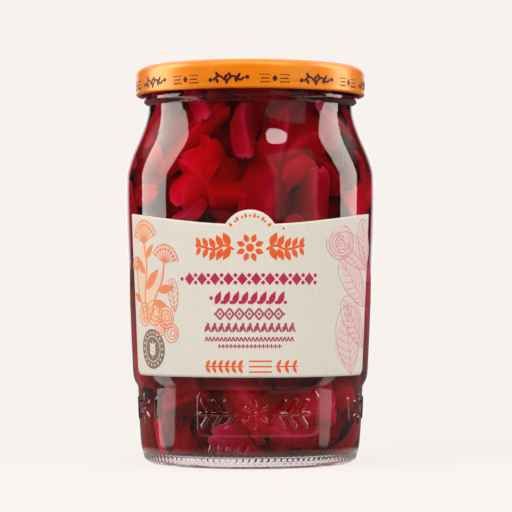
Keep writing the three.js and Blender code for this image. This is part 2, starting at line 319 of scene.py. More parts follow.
class JarSettings(bpy.types.PropertyGroup):
    """All that a user can change"""

    glass: PointerProperty(type=GlassSettings)
    filling: PointerProperty(type=FillingSettings)
    lid: PointerProperty(type=LidSettings)
    label: PointerProperty(type=LabelSettings)
    stage: PointerProperty(type=StageSettings)


def turn_slopes():
    """Heights, radii and slopes where the wall's curve turns."""
    heights, radii = np.array(WALL_TURNS, float).T
    secants = np.diff(radii) / np.diff(heights)
    slopes = np.zeros(len(radii))
    slopes[0] = secants[0]
    before, after = secants[:-1], secants[1:]
    same = before * after > 0
    slopes[1:-1][same] = 2 * before[same] * after[same] / (before + after)[same]
    return heights, radii, slopes


def wall_radius(height):
    """Outside radius of the wall, a smooth curve through its turns."""
    heights, radii, slopes = turn_slopes()
    height = np.clip(height, heights[0], heights[-1])
    low = np.clip(np.searchsorted(heights, height, side="right") - 1, 0, len(heights) - 2)
    span = heights[low + 1] - heights[low]
    t = (height - heights[low]) / span
    start, end = slopes[low] * span, slopes[low + 1] * span
    rise = radii[low + 1] - radii[low]
    return radii[low] + t * (start + t * (3 * rise - 2 * start - end + t * (start + end - 2 * rise)))


def shoulder_radius(height):
    """Outside radius over the shoulder, with the curve's turns eased out."""
    room = np.minimum(height - SHOULDER_LOW, NECK_HEIGHT - height) / 2
    reach = np.clip(room, 0, 2.5)
    return np.mean([wall_radius(height + part * reach) for part in np.linspace(-1, 1, 11)], axis=0)


def inside_radius(height, wall):
    """Radius of the cavity, with the round corner over the floor."""
    upper = wall_radius(height) - wall
    corner = wall_radius(CORNER_TOP) - wall
    part = np.clip((CORNER_TOP - np.asarray(height, float)) / (CORNER_TOP - FLOOR_EDGE), 0, 1)
    lower = RING_INNER + (corner - RING_INNER) * np.sqrt(1 - part ** 2)
    mouth = np.clip((np.asarray(height, float) - NECK_HEIGHT) / (RIM_TOP - NECK_HEIGHT), 0, 1)
    upper = upper + mouth * (MOUTH_RADIUS - (wall_radius(NECK_HEIGHT) - wall))
    return np.where(np.asarray(height) < CORNER_TOP, lower, upper)


def arc_points(middle, half_width, half_height, start, end, steps):
    """Points [radius, height] on an arc of an ellipse, from one angle to another in degrees."""
    turn = np.radians(np.linspace(start, end, steps + 1))
    return np.stack([middle[0] + half_width * np.cos(turn), middle[1] + half_height * np.sin(turn)], 1)


def smooth_step(low, high, value):
    """0 below low, 1 above high, and a smooth rise between."""
    t = np.clip((value - low) / (high - low), 0, 1)
    return t * t * (3 - 2 * t)


def waves(angle, height, rounds, lengths, count, seed):
    """Gentle unevenness between about -1 and 1, seamless round the jar."""
    draw = np.random.default_rng(seed)
    total = np.zeros(np.broadcast(angle, height).shape)
    for _ in range(count):
        turns = draw.integers(rounds[0], rounds[1] + 1)
        stretch = draw.uniform(*lengths)
        phase = draw.uniform(0, 2 * math.pi)
        lean = draw.choice((-1, 1))
        total += np.sin(turns * angle + lean * 2 * math.pi * height / stretch + phase)
    return total / math.sqrt(count * 1.5)


def object_from(name, vertices, faces, material=None, attributes=None):
    """A smooth mesh object from vertices in millimetres."""
    mesh = bpy.data.meshes.new(name)
    mesh.from_pydata((np.asarray(vertices, float) * MM).tolist(), [], [tuple(face) for face in faces])
    mesh.shade_smooth()
    for key, values in (attributes or {}).items():
        layer = mesh.attributes.new(key, "FLOAT", "POINT")
        layer.data.foreach_set("value", np.asarray(values, np.float32))
    if material:
        mesh.materials.append(material)
    mesh.update()
    piece = bpy.data.objects.new(name, mesh)
    bpy.context.scene.collection.objects.link(piece)
    return piece


def round_points(radius, angle, height):
    """Points round the jar's axis, with angles to the right of the front line."""
    radius, angle, height = np.broadcast_arrays(radius, angle, height)
    return np.stack([radius * np.sin(angle), -radius * np.cos(angle), height], -1)


def turned_mesh(rings, first_pole, last_pole):
    """Vertices and faces of a closed round shell: rings of points between two points on the axis."""
    rows, columns, _ = rings.shape
    vertices = np.concatenate([rings.reshape(-1, 3), [(0, 0, first_pole), (0, 0, last_pole)]])
    index = np.arange(rows * columns).reshape(rows, columns)
    after = np.roll(index, -1, 1)
    quads = np.stack([index[:-1], after[:-1], after[1:], index[1:]], -1).reshape(-1, 4)
    first, last = rows * columns, rows * columns + 1
    faces = quads.tolist()
    faces += [(first, after[0, c], index[0, c]) for c in range(columns)]
    faces += [(last, index[-1, c], after[-1, c]) for c in range(columns)]
    return vertices, faces


def closed_sheet(front, back, loop=False):
    """Vertices and faces of a thin closed body between two grids of points. Columns run right, rows up."""
    rows, columns, _ = front.shape
    index = np.arange(rows * columns).reshape(rows, columns)
    if loop:
        index = np.vstack([index, index[:1]])
    face = np.stack([index[:-1, :-1], index[:-1, 1:], index[1:, 1:], index[1:, :-1]], -1).reshape(-1, 4)
    faces = face.tolist() + (face[:, ::-1] + rows * columns).tolist()
    edges = []
    if not loop:
        edges += list(zip(index[0, :-1], index[0, 1:])) + list(zip(index[-1, 1:], index[-1, :-1]))
    edges += list(zip(index[:-1, -1], index[1:, -1])) + list(zip(index[1:, 0], index[:-1, 0]))
    shift = rows * columns
    faces += [(b, a, a + shift, b + shift) for a, b in edges]
    return np.concatenate([front.reshape(-1, 3), back.reshape(-1, 3)]), faces


def joined(parts):
    """Vertices and faces of several bodies as one."""
    vertices, faces, shift = [], [], 0
    for points, polygons in parts:
        vertices.append(points)
        faces += [tuple(corner + shift for corner in polygon) for polygon in polygons]
        shift += len(points)
    return np.concatenate(vertices), faces


def finish_piece(piece, slot, *nodes):
    """Rides the piece on the jar and hides the CAD nodes it stands for. The slot is not used."""
    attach(piece, "root")
    if nodes:
        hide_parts(*nodes)
    return piece


def remove_pieces(pieces):
    """Takes helper objects and their meshes out of the file."""
    for piece in pieces:
        mesh = piece.data
        bpy.data.objects.remove(piece)
        bpy.data.meshes.remove(mesh)


def plain_mesh(piece, name):
    """The evaluated object as a plain mesh object of that name, with the helper removed."""
    depsgraph = bpy.context.evaluated_depsgraph_get()
    mesh = bpy.data.meshes.new_from_object(piece.evaluated_get(depsgraph), depsgraph=depsgraph)
    piece.modifiers.clear()
    remove_pieces([piece])
    mesh.name = name
    made = bpy.data.objects.new(name, mesh)
    bpy.context.scene.collection.objects.link(made)
    return made


def wrap_round(piece, reference, radius_at):
    """Bends a flat piece round the jar. x is the arc, y the height and z the height over the surface."""
    mesh = piece.data
    points = np.empty(len(mesh.vertices) * 3)
    mesh.vertices.foreach_get("co", points)
    x, y, z = points.reshape(-1, 3).T / MM
    radius, height = radius_at(y, z)
    bent = round_points(radius, x / reference, height) * MM
    mesh.vertices.foreach_set("co", bent.ravel())
    mesh.update()
    return piece


class Nodes:
    """Short calls that build a node tree."""

    def __init__(self, tree):
        self.tree = tree

    def add(self, kind, inputs=None, **settings):
        """A node with its settings, and its inputs set to values or linked from other sockets."""
        node = self.tree.nodes.new(kind)
        for key, value in settings.items():
            setattr(node, key, value)
        for key, value in (inputs or {}).items():
            socket = node.inputs[key]
            if isinstance(value, bpy.types.NodeSocket):
                self.tree.links.new(value, socket)
            else:
                socket.default_value = value
        return node

    def ramp(self, factor, stops):
        """A colour ramp with those (position, colour) stops."""
        node = self.add("ShaderNodeValToRGB", {"Fac": factor})
        elements = node.color_ramp.elements
        while len(elements) < len(stops):
            elements.new(0.5)
        for element, (position, shade) in zip(elements, stops):
            element.position = position
            element.color = (*shade, 1)
        return node.outputs["Color"]

    def value_ramp(self, factor, low, high, low_value=0.0, high_value=1.0):
        """The factor mapped from one range to another."""
        node = self.add("ShaderNodeMapRange", {
            "Value": factor, "From Min": low, "From Max": high, "To Min": low_value, "To Max": high_value,
        })
        return node.outputs["Result"]

    def mix(self, factor, first, second, blend="MIX"):
        """Two colours mixed."""
        node = self.add("ShaderNodeMix", data_type="RGBA", blend_type=blend)
        for socket, value in ((node.inputs[0], factor), (node.inputs[6], first), (node.inputs[7], second)):
            if isinstance(value, bpy.types.NodeSocket):
                self.tree.links.new(value, socket)
            else:
                socket.default_value = value
        return node.outputs[2]

    def math(self, operation, first, second=0.0):
        """One sum on two values."""
        return self.add("ShaderNodeMath", {0: first, 1: second}, operation=operation).outputs[0]


def new_material(name):
    """An empty node material and its output node."""
    material = bpy.data.materials.new(name)
    material.use_nodes = True
    material.node_tree.nodes.clear()
    nodes = Nodes(material.node_tree)
    output = nodes.add("ShaderNodeOutputMaterial")
    return material, nodes, output


def object_noise(nodes, scale, detail=3.0, stretch=(1, 1, 1), roughness=0.5):
    """Noise in the object's own coordinates, with scale in waves a metre."""
    place = nodes.add("ShaderNodeTexCoord").outputs["Object"]
    mapped = nodes.add("ShaderNodeMapping", {"Vector": place, "Scale": stretch}).outputs["Vector"]
    noise = nodes.add("ShaderNodeTexNoise", {
        "Vector": mapped, "Scale": scale, "Detail": detail, "Roughness": roughness,
    })
    return noise.outputs["Fac"]


def toned(shade, factor):
    """The colour made darker or lighter by a factor."""
    return tuple(min(1, channel * factor) for channel in shade)


def clear_to_light(nodes, output, shader):
    """Links a clear shader to the output so that light goes straight through it to what lies behind."""
    path = nodes.add("ShaderNodeLightPath").outputs
    clear = nodes.add("ShaderNodeBsdfTransparent", {"Color": (0.97, 0.98, 0.975, 1)})
    mix = nodes.add("ShaderNodeMixShader", {0: path["Is Shadow Ray"], 1: shader, 2: clear.outputs[0]})
    nodes.tree.links.new(mix.outputs[0], output.inputs["Surface"])


def solid_surface(nodes, output, bump, inputs):
    """Links a shader with a fine bump to the output. The bump is its height, strength and depth."""
    height, strength, depth = bump
    raised = nodes.add("ShaderNodeBump", {"Height": height, "Strength": strength, "Distance": depth})
    shader = nodes.add("ShaderNodeBsdfPrincipled", {**inputs, "Normal": raised.outputs["Normal"]})
    nodes.tree.links.new(shader.outputs[0], output.inputs["Surface"])


def glass_material(settings, name="clear_glass", bend=1.5):
    """Clear flint glass. Where brine wets it, the glass bends light less, by their ratio."""
    material, nodes, output = new_material(name)
    noise = object_noise(nodes, 260, 2.0)
    bump = nodes.add("ShaderNodeBump", {"Height": noise, "Strength": 0.02, "Distance": 0.0002})
    shader = nodes.add("ShaderNodeBsdfPrincipled", {
        "Base Color": (*settings.tint, 1), "Roughness": 0.0, "IOR": bend, "Transmission Weight": 1.0,
        "Normal": bump.outputs["Normal"],
    })
    clear_to_light(nodes, output, shader.outputs[0])
    return material


def brine_material(settings):
    """Crimson brine, coloured by its depth. Its skin lies in the glass, whose wetted face bends light."""
    material, nodes, output = new_material("cabbage_brine")
    shader = nodes.add("ShaderNodeBsdfPrincipled", {
        "Base Color": (1, 1, 1, 1), "Roughness": 0.0, "IOR": 1.0, "Transmission Weight": 1.0,
    })
    depth = nodes.add("ShaderNodeVolumeAbsorption", {
        "Color": (*settings.brine, 1), "Density": settings.density,
    })
    nodes.tree.links.new(depth.outputs[0], output.inputs["Volume"])
    clear_to_light(nodes, output, shader.outputs[0])
    return material


def leaf_material(settings, name="cabbage_leaf", shade=1.0):
    """Crimson leaf with darker and brighter pieces, and paler cut edges and ribs. A shade below 1 darkens all
    its colours, as painted shade.
    """
    material, nodes, output = new_material(name)
    tone = nodes.add("ShaderNodeAttribute", attribute_name="tone").outputs["Fac"]
    pale = nodes.add("ShaderNodeAttribute", attribute_name="pale").outputs["Fac"]
    clouds = object_noise(nodes, 130, 4.0, roughness=0.6)
    fine = object_noise(nodes, 330, 4.0)
    dark, bright, cut = (toned(part, shade) for part in (settings.dark, settings.bright, settings.cut))
    middle = tuple((low + high) / 2 for low, high in zip(dark, bright))
    blend = nodes.math("ADD", nodes.math("MULTIPLY", tone, 0.62), nodes.math("MULTIPLY", clouds, 0.5))
    body = nodes.ramp(blend, [(0.12, dark), (0.5, middle), (0.9, bright)])
    edge = nodes.math("MULTIPLY", pale, nodes.value_ramp(clouds, 0.38, 0.62, 0.25, 1.0))
    solid_surface(nodes, output, (fine, 0.6, 0.0012), {
        "Base Color": nodes.mix(edge, body, (*cut, 1)), "Roughness": 0.5, "Specular IOR Level": 0.05,
    })
    return material


def lacquer_material(settings):
    """Glossy orange lacquer over sheet steel."""
    material, nodes, output = new_material("orange_lacquer")
    broad = object_noise(nodes, 60, 2.0)
    fine = object_noise(nodes, 2200, 2.0)
    shade = nodes.ramp(broad, [(0.3, toned(settings.lacquer, 0.95)), (0.7, toned(settings.lacquer, 1.04))])
    rough = nodes.value_ramp(broad, 0.3, 0.7, 0.26, 0.32)
    solid_surface(nodes, output, (fine, 0.06, 0.0001), {
        "Base Color": shade, "Metallic": 0.0, "Roughness": rough, "Specular IOR Level": 1.0,
        "Specular Tint": (1, 0.86, 0.28, 1), "Coat Weight": 0.12, "Coat Roughness": 0.1,
    })
    return material


def paper_material(settings):
    """Uncoated paper with fine fibres and specks."""
    material, nodes, output = new_material("fibre_paper")
    clouds = object_noise(nodes, 220, 3.0)
    fibres = object_noise(nodes, 1900, 4.0, (1, 1, 0.6), 0.7)
    specks = object_noise(nodes, 2600, 1.0)
    base = settings.paper
    light = toned(base, 1.05)
    fleck = (base[0] * 0.66, base[1] * 0.62, base[2] * 0.6)
    body = nodes.ramp(fibres, [(0.3, toned(base, 0.93)), (0.48, base), (0.66, light)])
    body = nodes.mix(nodes.value_ramp(clouds, 0.35, 0.7, 0.0, 0.35), body, (*light, 1))
    body = nodes.mix(nodes.value_ramp(specks, 0.68, 0.74, 0.0, 0.7), body, (*fleck, 1))
    solid_surface(nodes, output, (fibres, 0.12, 0.0001), {
        "Base Color": body, "Roughness": 0.85, "Specular IOR Level": 0.2,
    })
    return material


def ink_material(name, shade, roughness=0.6, thin=0.05):
    """Print, a little uneven where it is thin."""
    material, nodes, output = new_material(name)
    fibres = object_noise(nodes, 1400, 4.0, (1, 1, 0.45), 0.7)
    lighter = tuple(channel + thin * (1 - channel) for channel in shade)
    body = nodes.ramp(fibres, [(0.4, tuple(shade)), (0.75, lighter)])
    solid_surface(nodes, output, (fibres, 0.15, 0.0001), {
        "Base Color": body, "Roughness": roughness, "Specular IOR Level": 0.3,
    })
    return material


def stroke_relief(arc, height, strokes, half_width):
    """How close each point is to a set of strokes: 1 on a stroke, 0 away from it."""
    relief = np.zeros(arc.shape)
    for stroke in strokes:
        low, high = stroke.min(0) - half_width, stroke.max(0) + half_width
        near = (arc > low[0]) & (arc < high[0]) & (height > low[1]) & (height < high[1])
        if not near.any():
            continue
        points = np.stack([arc[near], height[near]], -1)
        best = np.full(len(points), np.inf)
        for start, end in zip(stroke[:-1], stroke[1:]):
            along = end - start
            t = np.clip(((points - start) @ along) / max(along @ along, 1e-9), 0, 1)
            best = np.minimum(best, np.linalg.norm(points - start - t[:, None] * along, axis=1))
        relief[near] = np.maximum(relief[near], 1 - smooth_step(0.1 * half_width, half_width, best))
    return relief


def leaf_loop(x, y, long, wide, turn):
    """Closed outline of a pointed leaf that starts at (x, y) and grows at an angle in degrees."""
    t = np.linspace(0, 2 * math.pi, 25)
    along = long * (1 - np.cos(t)) / 2
    aside = wide / 2 * np.sin(t) * np.sqrt(np.clip(np.sin(t / 2), 0, 1))
    c, s = math.cos(math.radians(turn)), math.sin(math.radians(turn))
    return np.stack([x + along * c - aside * s, y + along * s + aside * c], 1)


def circle_loop(x, y, radius, steps=20):
    """Closed circle."""
    turn = np.linspace(0, 2 * math.pi, steps + 1)
    return np.stack([x + radius * np.cos(turn), y + radius * np.sin(turn)], 1)


def flower_strokes(x, height, inner, outer):
    """A flower of six raised petals round a raised dot."""
    strokes = [np.array([(x, height), (x + 0.1, height)])]
    for petal in range(6):
        turn = math.radians(petal * 60 + 30)
        reach = np.array([math.cos(turn), math.sin(turn)])
        strokes.append(np.array([(x, height) + inner * reach, (x, height) + outer * reach]))
    return strokes


def belt_strokes():
    """The raised ornament on the belt's panel: a flower between two leafy branches."""
    x = math.radians(BRANCH_MIDDLE) * BELT_RADIUS
    height = (PANEL_LOW + PANEL_HIGH) / 2
    strokes = flower_strokes(x, height, 2.6, 4.6)
    for side in (-1, 1):
        strokes.append(np.array([(x + side * BRANCH_START, height), (x + side * BRANCH_END, height)]))
        for place in np.linspace(BRANCH_START + 1, BRANCH_END - 3.2, BRANCH_LEAVES):
            for above in (-1, 1):
                foot = (x + side * place, height + 0.8 * above)
                tip = (x + side * (place + 2.6), height + 4.6 * above)
                strokes.append(np.array([foot, tip]))
    return strokes


def side_strokes(angle):
    """A raised flower on the side of the belt, between two slanting bars."""
    x = math.radians(angle) * BELT_RADIUS
    strokes = flower_strokes(x, SIDE_MIDDLE, 2.9, 5.2)
    for aside in (-9, 9):
        strokes.append(np.array([(x + aside, SIDE_MIDDLE - 3.6), (x + 1.12 * aside, SIDE_MIDDLE + 3.6)]))
    return strokes


def mark_strokes():
    """The raised capacity mark near the heel: a row of short slanting strokes."""
    strokes = []
    for number in range(MARKS):
        x = math.radians(MARK_START + MARK_STEP * number) * BELT_RADIUS
        strokes.append(np.array([
            (x - MARK_LEAN, MARK_HEIGHT - MARK_HALF), (x + MARK_LEAN, MARK_HEIGHT + MARK_HALF),
        ]))
    return strokes


def panel_relief(arc, height):
    """The belt's raised panel with its round corners: 1 on it, 0 outside."""
    middle, half = (math.radians(angle) * BELT_RADIUS for angle in (PANEL_MIDDLE, PANEL_HALF))
    aside = np.abs(arc - middle) - half + PANEL_CORNER
    above = np.abs(height - (PANEL_LOW + PANEL_HIGH) / 2) - (PANEL_HIGH - PANEL_LOW) / 2 + PANEL_CORNER
    edge = np.hypot(np.maximum(aside, 0), np.maximum(above, 0)) + np.minimum(np.maximum(aside, above), 0)
    return 1 - smooth_step(PANEL_CORNER - PANEL_EDGE, PANEL_CORNER, edge)


def belt_relief(settings, angle, height):
    """Height of what is raised on the belt and the heel."""
    arc = angle * BELT_RADIUS
    strokes = belt_strokes() + [stroke for flower in SIDE_FLOWERS for stroke in side_strokes(flower)]
    drawn = stroke_relief(arc, height, strokes, STROKE_HALF) * np.where(np.abs(angle) < 0.8, 1, SIDE_RELIEF)
    marks = MARK_RELIEF * stroke_relief(arc, height, mark_strokes(), 0.8)
    low_end = smooth_step(RIB_LOW, RIB_LOW + RIB_FADE, height)
    high_end = 1 - smooth_step(RIB_HIGH - RIB_FADE, RIB_HIGH, height)
    ribs = RIB_DEPTH * np.clip(np.cos(HEEL_RIBS * angle), -0.3, 1) * low_end * high_end
    raised = settings.panel_relief * panel_relief(arc, height) + settings.relief * np.maximum(drawn, marks)
    return raised / MM + ribs


def glass_outside():
    """The jar's outer outline [radius, height], from the middle of the base to the rim.

    It comes with the number of the point where the wall starts, over the heel.
    """
    underside = arc_points((0, 0), RING_INNER, PUSH_UP, 90, 0, UNDERSIDE_STEPS)[1:]
    heel_width = wall_radius(HEEL_HEIGHT) - RING_OUTER
    heel = arc_points((RING_OUTER, HEEL_HEIGHT), heel_width, HEEL_HEIGHT, -90, 0, HEEL_STEPS)
    heights = np.concatenate([
        np.arange(HEEL_HEIGHT + 0.5, BELT_LOW, 0.6), np.arange(BELT_LOW, BELT_HIGH, BELT_ROW),
        np.arange(BELT_HIGH, 36, 0.8), np.linspace(36, SHOULDER_LOW - 1, 22),
    ])
    wall = np.stack([wall_radius(heights), heights], 1)
    heights = np.linspace(SHOULDER_LOW, NECK_HEIGHT, 54)
    shoulder = np.stack([shoulder_radius(heights), heights], 1)
    bead_heights = np.linspace(NECK_HEIGHT + 0.35, FINISH_LOW, 9)
    swell = smooth_step(NECK_HEIGHT, BEAD_MIDDLE - 0.5, bead_heights)
    settle = smooth_step(BEAD_MIDDLE + 0.5, FINISH_LOW, bead_heights)
    neck = wall_radius(NECK_HEIGHT)
    bead_radii = neck + (BEAD_RADIUS - neck) * swell - (BEAD_RADIUS - FINISH_RADIUS) * settle
    bead = np.stack([bead_radii, bead_heights], 1)
    heights = np.linspace(FINISH_LOW + 1, RIM_TOP - RIM_ROUND - 0.5, 4)
    finish = np.stack([np.full(len(heights), FINISH_RADIUS), heights], 1)
    rim_middle = (FINISH_RADIUS - RIM_ROUND, RIM_TOP - RIM_ROUND)
    outer_rim = arc_points(rim_middle, RIM_ROUND, RIM_ROUND, 0, 90, RIM_STEPS)
    outline = np.concatenate([underside, heel, wall, shoulder, bead, finish, outer_rim])
    return outline, len(underside) + len(heel)


def floor_outline(wall, aside=0.0, below=0.0):
    """Outline of the cavity's round corner and domed floor, moved into the glass by those amounts."""
    corner_width = wall_radius(CORNER_TOP) - wall + aside - RING_INNER
    corner_depth = CORNER_TOP - FLOOR_EDGE + below
    corner = arc_points((RING_INNER, CORNER_TOP), corner_width, corner_depth, 0, -90, CORNER_STEPS)
    dome = FLOOR_MIDDLE - FLOOR_EDGE
    floor = arc_points((0, FLOOR_EDGE - below), RING_INNER, dome, 0, 90, FLOOR_STEPS)[1:-1]
    return np.concatenate([corner, floor])


def glass_inside(wall):
    """The jar's inner outline [radius, height] from the rim down to the middle of the floor."""
    rim_middle = (MOUTH_RADIUS + RIM_ROUND, RIM_TOP - RIM_ROUND)
    inner_rim = arc_points(rim_middle, RIM_ROUND, RIM_ROUND, 90, 180, RIM_STEPS)
    upper = np.linspace(RIM_TOP - RIM_ROUND - 1, SHOULDER_LOW, 22)
    heights = np.concatenate([upper, np.linspace(SHOULDER_LOW - 3, CORNER_TOP + 1, 24)])
    side = np.stack([inside_radius(heights, wall), heights], 1)
    return np.concatenate([inner_rim, side, floor_outline(wall)])


def jar_columns():
    """Angles round the jar, closest where the belt is ornamented."""
    return np.radians(np.concatenate([np.arange(-92, 92, 0.5), np.arange(92, 268, 2.0)]))


def inner_ripple(settings, angle, height):
    """Unevenness of the inner face, which the brine's skin shares. It fades out at the floor and the neck."""
    fade = smooth_step(CORNER_TOP, RIPPLE_LOW, height) * (1 - smooth_step(RIPPLE_HIGH, NECK_HEIGHT, height))
    return settings.inner_ripple / MM * fade * waves(angle, height, (2, 9), (22, 70), 9, 5)


class JAR_OT_glass(bpy.types.Operator):
    """Make the blown glass jar with its pressed belt"""

    bl_idname = "cabbage_jar.glass"
    bl_label = "Glass"

    def execute(self, context):
        settings = context.scene.cabbage_jar.glass
        outside, wall_start = glass_outside()
        inside = glass_inside(settings.wall / MM)
        profile = np.concatenate([outside, inside])
        angle, height = np.meshgrid(jar_columns(), profile[:, 1])
        radius = np.repeat(profile[:, :1], angle.shape[1], 1)
        outer = slice(0, len(outside))
        low_end = smooth_step(HEEL_HEIGHT, 12, height[outer])
        on_wall = low_end * (1 - smooth_step(128, NECK_HEIGHT, height[outer]))
        on_wall[:wall_start] = 0
        shoulder = 1 + 0.5 * smooth_step(104, 112, height[outer])
        ripple = waves(angle[outer], height[outer], (2, 14), (10, 50), 12, 3)
        radius[outer] += settings.outer_ripple / MM * on_wall * shoulder * (ripple - RIPPLE_REACH)
        belt = (height[outer] > 0.6) & (height[outer] < BELT_HIGH + 1)
        belt[:UNDERSIDE_STEPS] = False
        rows = np.where(belt.any(1))[0]
        radius[rows] += belt_relief(settings, angle[rows], height[rows])
        inner = slice(len(outside), len(profile))
        radius[inner] += inner_ripple(settings, angle[inner], height[inner])
        vertices, faces = turned_mesh(round_points(radius, angle, height), PUSH_UP, FLOOR_MIDDLE)
        piece = object_from("blown_glass_jar", vertices, faces, glass_material(settings))
        piece.data.materials.append(glass_material(settings, "wetted_glass", GLASS_TO_BRINE))
        wetted = np.zeros(len(faces), np.int32)
        rows = np.arange(len(outside) + RIM_STEPS + 1, len(profile) - 1)
        columns = angle.shape[1]
        for row in rows[profile[rows, 1] < BRINE_LEVEL]:
            wetted[row * columns:(row + 1) * columns] = 1
        wetted[-columns:] = 1
        piece.data.polygons.foreach_set("material_index", wetted)
        finish_piece(piece, "glass", "jar_glass")
        return {"FINISHED"}


class JAR_OT_brine(bpy.types.Operator):
    """Make the brine, which reaches just into the glass"""

    bl_idname = "cabbage_jar.brine"
    bl_label = "Brine"

    def execute(self, context):
        settings = context.scene.cabbage_jar
        wall = settings.glass.wall / MM
        base = floor_outline(wall, BRINE_OVERLAP, FLOOR_OVERLAP)[::-1]
        upper = np.linspace(SHOULDER_LOW, BRINE_LEVEL, 20)
        heights = np.concatenate([np.linspace(CORNER_TOP + 1, SHOULDER_LOW - 3, 24), upper])
        side = np.stack([inside_radius(heights, wall) + BRINE_OVERLAP, heights], 1)
        profile = np.concatenate([base, side])
        angle, height = np.meshgrid(np.radians(np.arange(0, 360, 1.5)), profile[:, 1])
        radius = np.repeat(profile[:, :1], angle.shape[1], 1)
        on_side = np.arange(len(profile))[:, None] >= len(base)
        radius += on_side * inner_ripple(settings.glass, angle, height)
        points = round_points(radius, angle, height)
        vertices, faces = turned_mesh(points, FLOOR_MIDDLE - FLOOR_OVERLAP, BRINE_LEVEL)
        piece = object_from("brine", vertices, faces, brine_material(settings.filling))
        finish_piece(piece, "cabbage", "cabbage")
        return {"FINISHED"}


def leaf_piece(name, long, wide, thick, shape, draw, pale_edge=1.0, pale_body=0.0):
    """One piece of leaf as a closed, curled and waved sheet."""
    u = np.linspace(-1, 1, LEAF_ROWS)[:, None]
    v = np.linspace(-1, 1, LEAF_COLUMNS)[None, :]
    ragged = 1 + 0.1 * np.sin(5 * u + draw.uniform(0, 6)) + 0.05 * np.sin(11 * u + draw.uniform(0, 6))
    half = wide / 2 * (1 - np.abs(u) ** shape["square"]) ** 0.5 * ragged
    half = np.maximum(half, wide * 0.06)
    x = long / 2 * u + 0.05 * long * v ** 2 * np.sign(u)
    y = half * v + shape["sway"] * np.sin(math.pi * u)
    across = half * v
    lift = -shape["curl"] * (across / (wide / 2)) ** 2 - shape["bend"] * u ** 2
    lift = lift + shape["wave"] * np.sin(3.2 * u + 1.4 * v + draw.uniform(0, 6)) * (0.35 + 0.65 * v ** 2)
    lift = lift + shape["fold"] * np.exp(-((across - 0.2 * wide * np.sin(2 * u)) / (0.13 * wide)) ** 2)
    midrib = np.exp(-((v - 0.25 * np.sin(1.5 * u)) / 0.15) ** 2) * (0.7 - 0.45 * u)
    lift = lift + 0.8 * midrib
    rim = np.maximum(np.abs(u) ** 6, np.abs(v) ** 3) * np.ones_like(x)
    body = thick / 2 * np.sqrt(np.clip(1 - 0.85 * rim, 0.05, 1))
    front = np.stack([x * np.ones_like(y), y, lift + body], -1)
    back = np.stack([x * np.ones_like(y), y, lift - body], -1)
    vertices, faces = closed_sheet(front, back)
    pale = np.clip(pale_body + 0.35 * midrib + pale_edge * smooth_step(0.35, 1.0, rim), 0, 1).ravel()
    return object_from(name, vertices, faces, attributes={"pale": np.concatenate([pale, pale])})


def leaf_kinds(prefix, draw, count, ribs, larger=1.0):
    """Helper pieces that the scatter picks from: leaves of several shapes, and thick pale ribs."""
    made = []
    for number in range(count):
        shape = {
            "square": draw.uniform(2.6, 6), "sway": draw.uniform(-2.2, 2.2),
            "curl": draw.uniform(1.5, 6.5), "bend": draw.uniform(-2.5, 4.5),
            "wave": draw.uniform(0.6, 2.0), "fold": draw.uniform(-1.2, 1.8),
        }
        long, wide = larger * draw.uniform(24, 42), larger * draw.uniform(13, 22)
        thick, pale_edge = draw.uniform(1.0, 1.7), draw.uniform(0.15, 0.8)
        made.append(leaf_piece(f"{prefix}_leaf_{number}", long, wide, thick, shape, draw, pale_edge))
    for number in range(ribs):
        shape = {
            "square": 8, "sway": draw.uniform(-2.4, 2.4), "curl": draw.uniform(0.3, 0.9),
            "bend": draw.uniform(-1.5, 3), "wave": 0.3, "fold": 0.4,
        }
        long, wide, pale_body = draw.uniform(20, 34), draw.uniform(4.5, 7.5), draw.uniform(0.2, 0.6)
        made.append(leaf_piece(f"{prefix}_rib_{number}", long, wide, 3.0, shape, draw, 0.9, pale_body))
    return made


SCATTER_INPUTS = (
    ("Width", "NodeSocketFloat"), ("Height", "NodeSocketFloat"), ("Columns", "NodeSocketInt"),
    ("Rows", "NodeSocketInt"), ("Jitter", "NodeSocketVector"), ("Turn Low", "NodeSocketVector"),
    ("Turn High", "NodeSocketVector"), ("Smallest", "NodeSocketFloat"), ("Largest", "NodeSocketFloat"),
    ("Seed", "NodeSocketInt"),
)


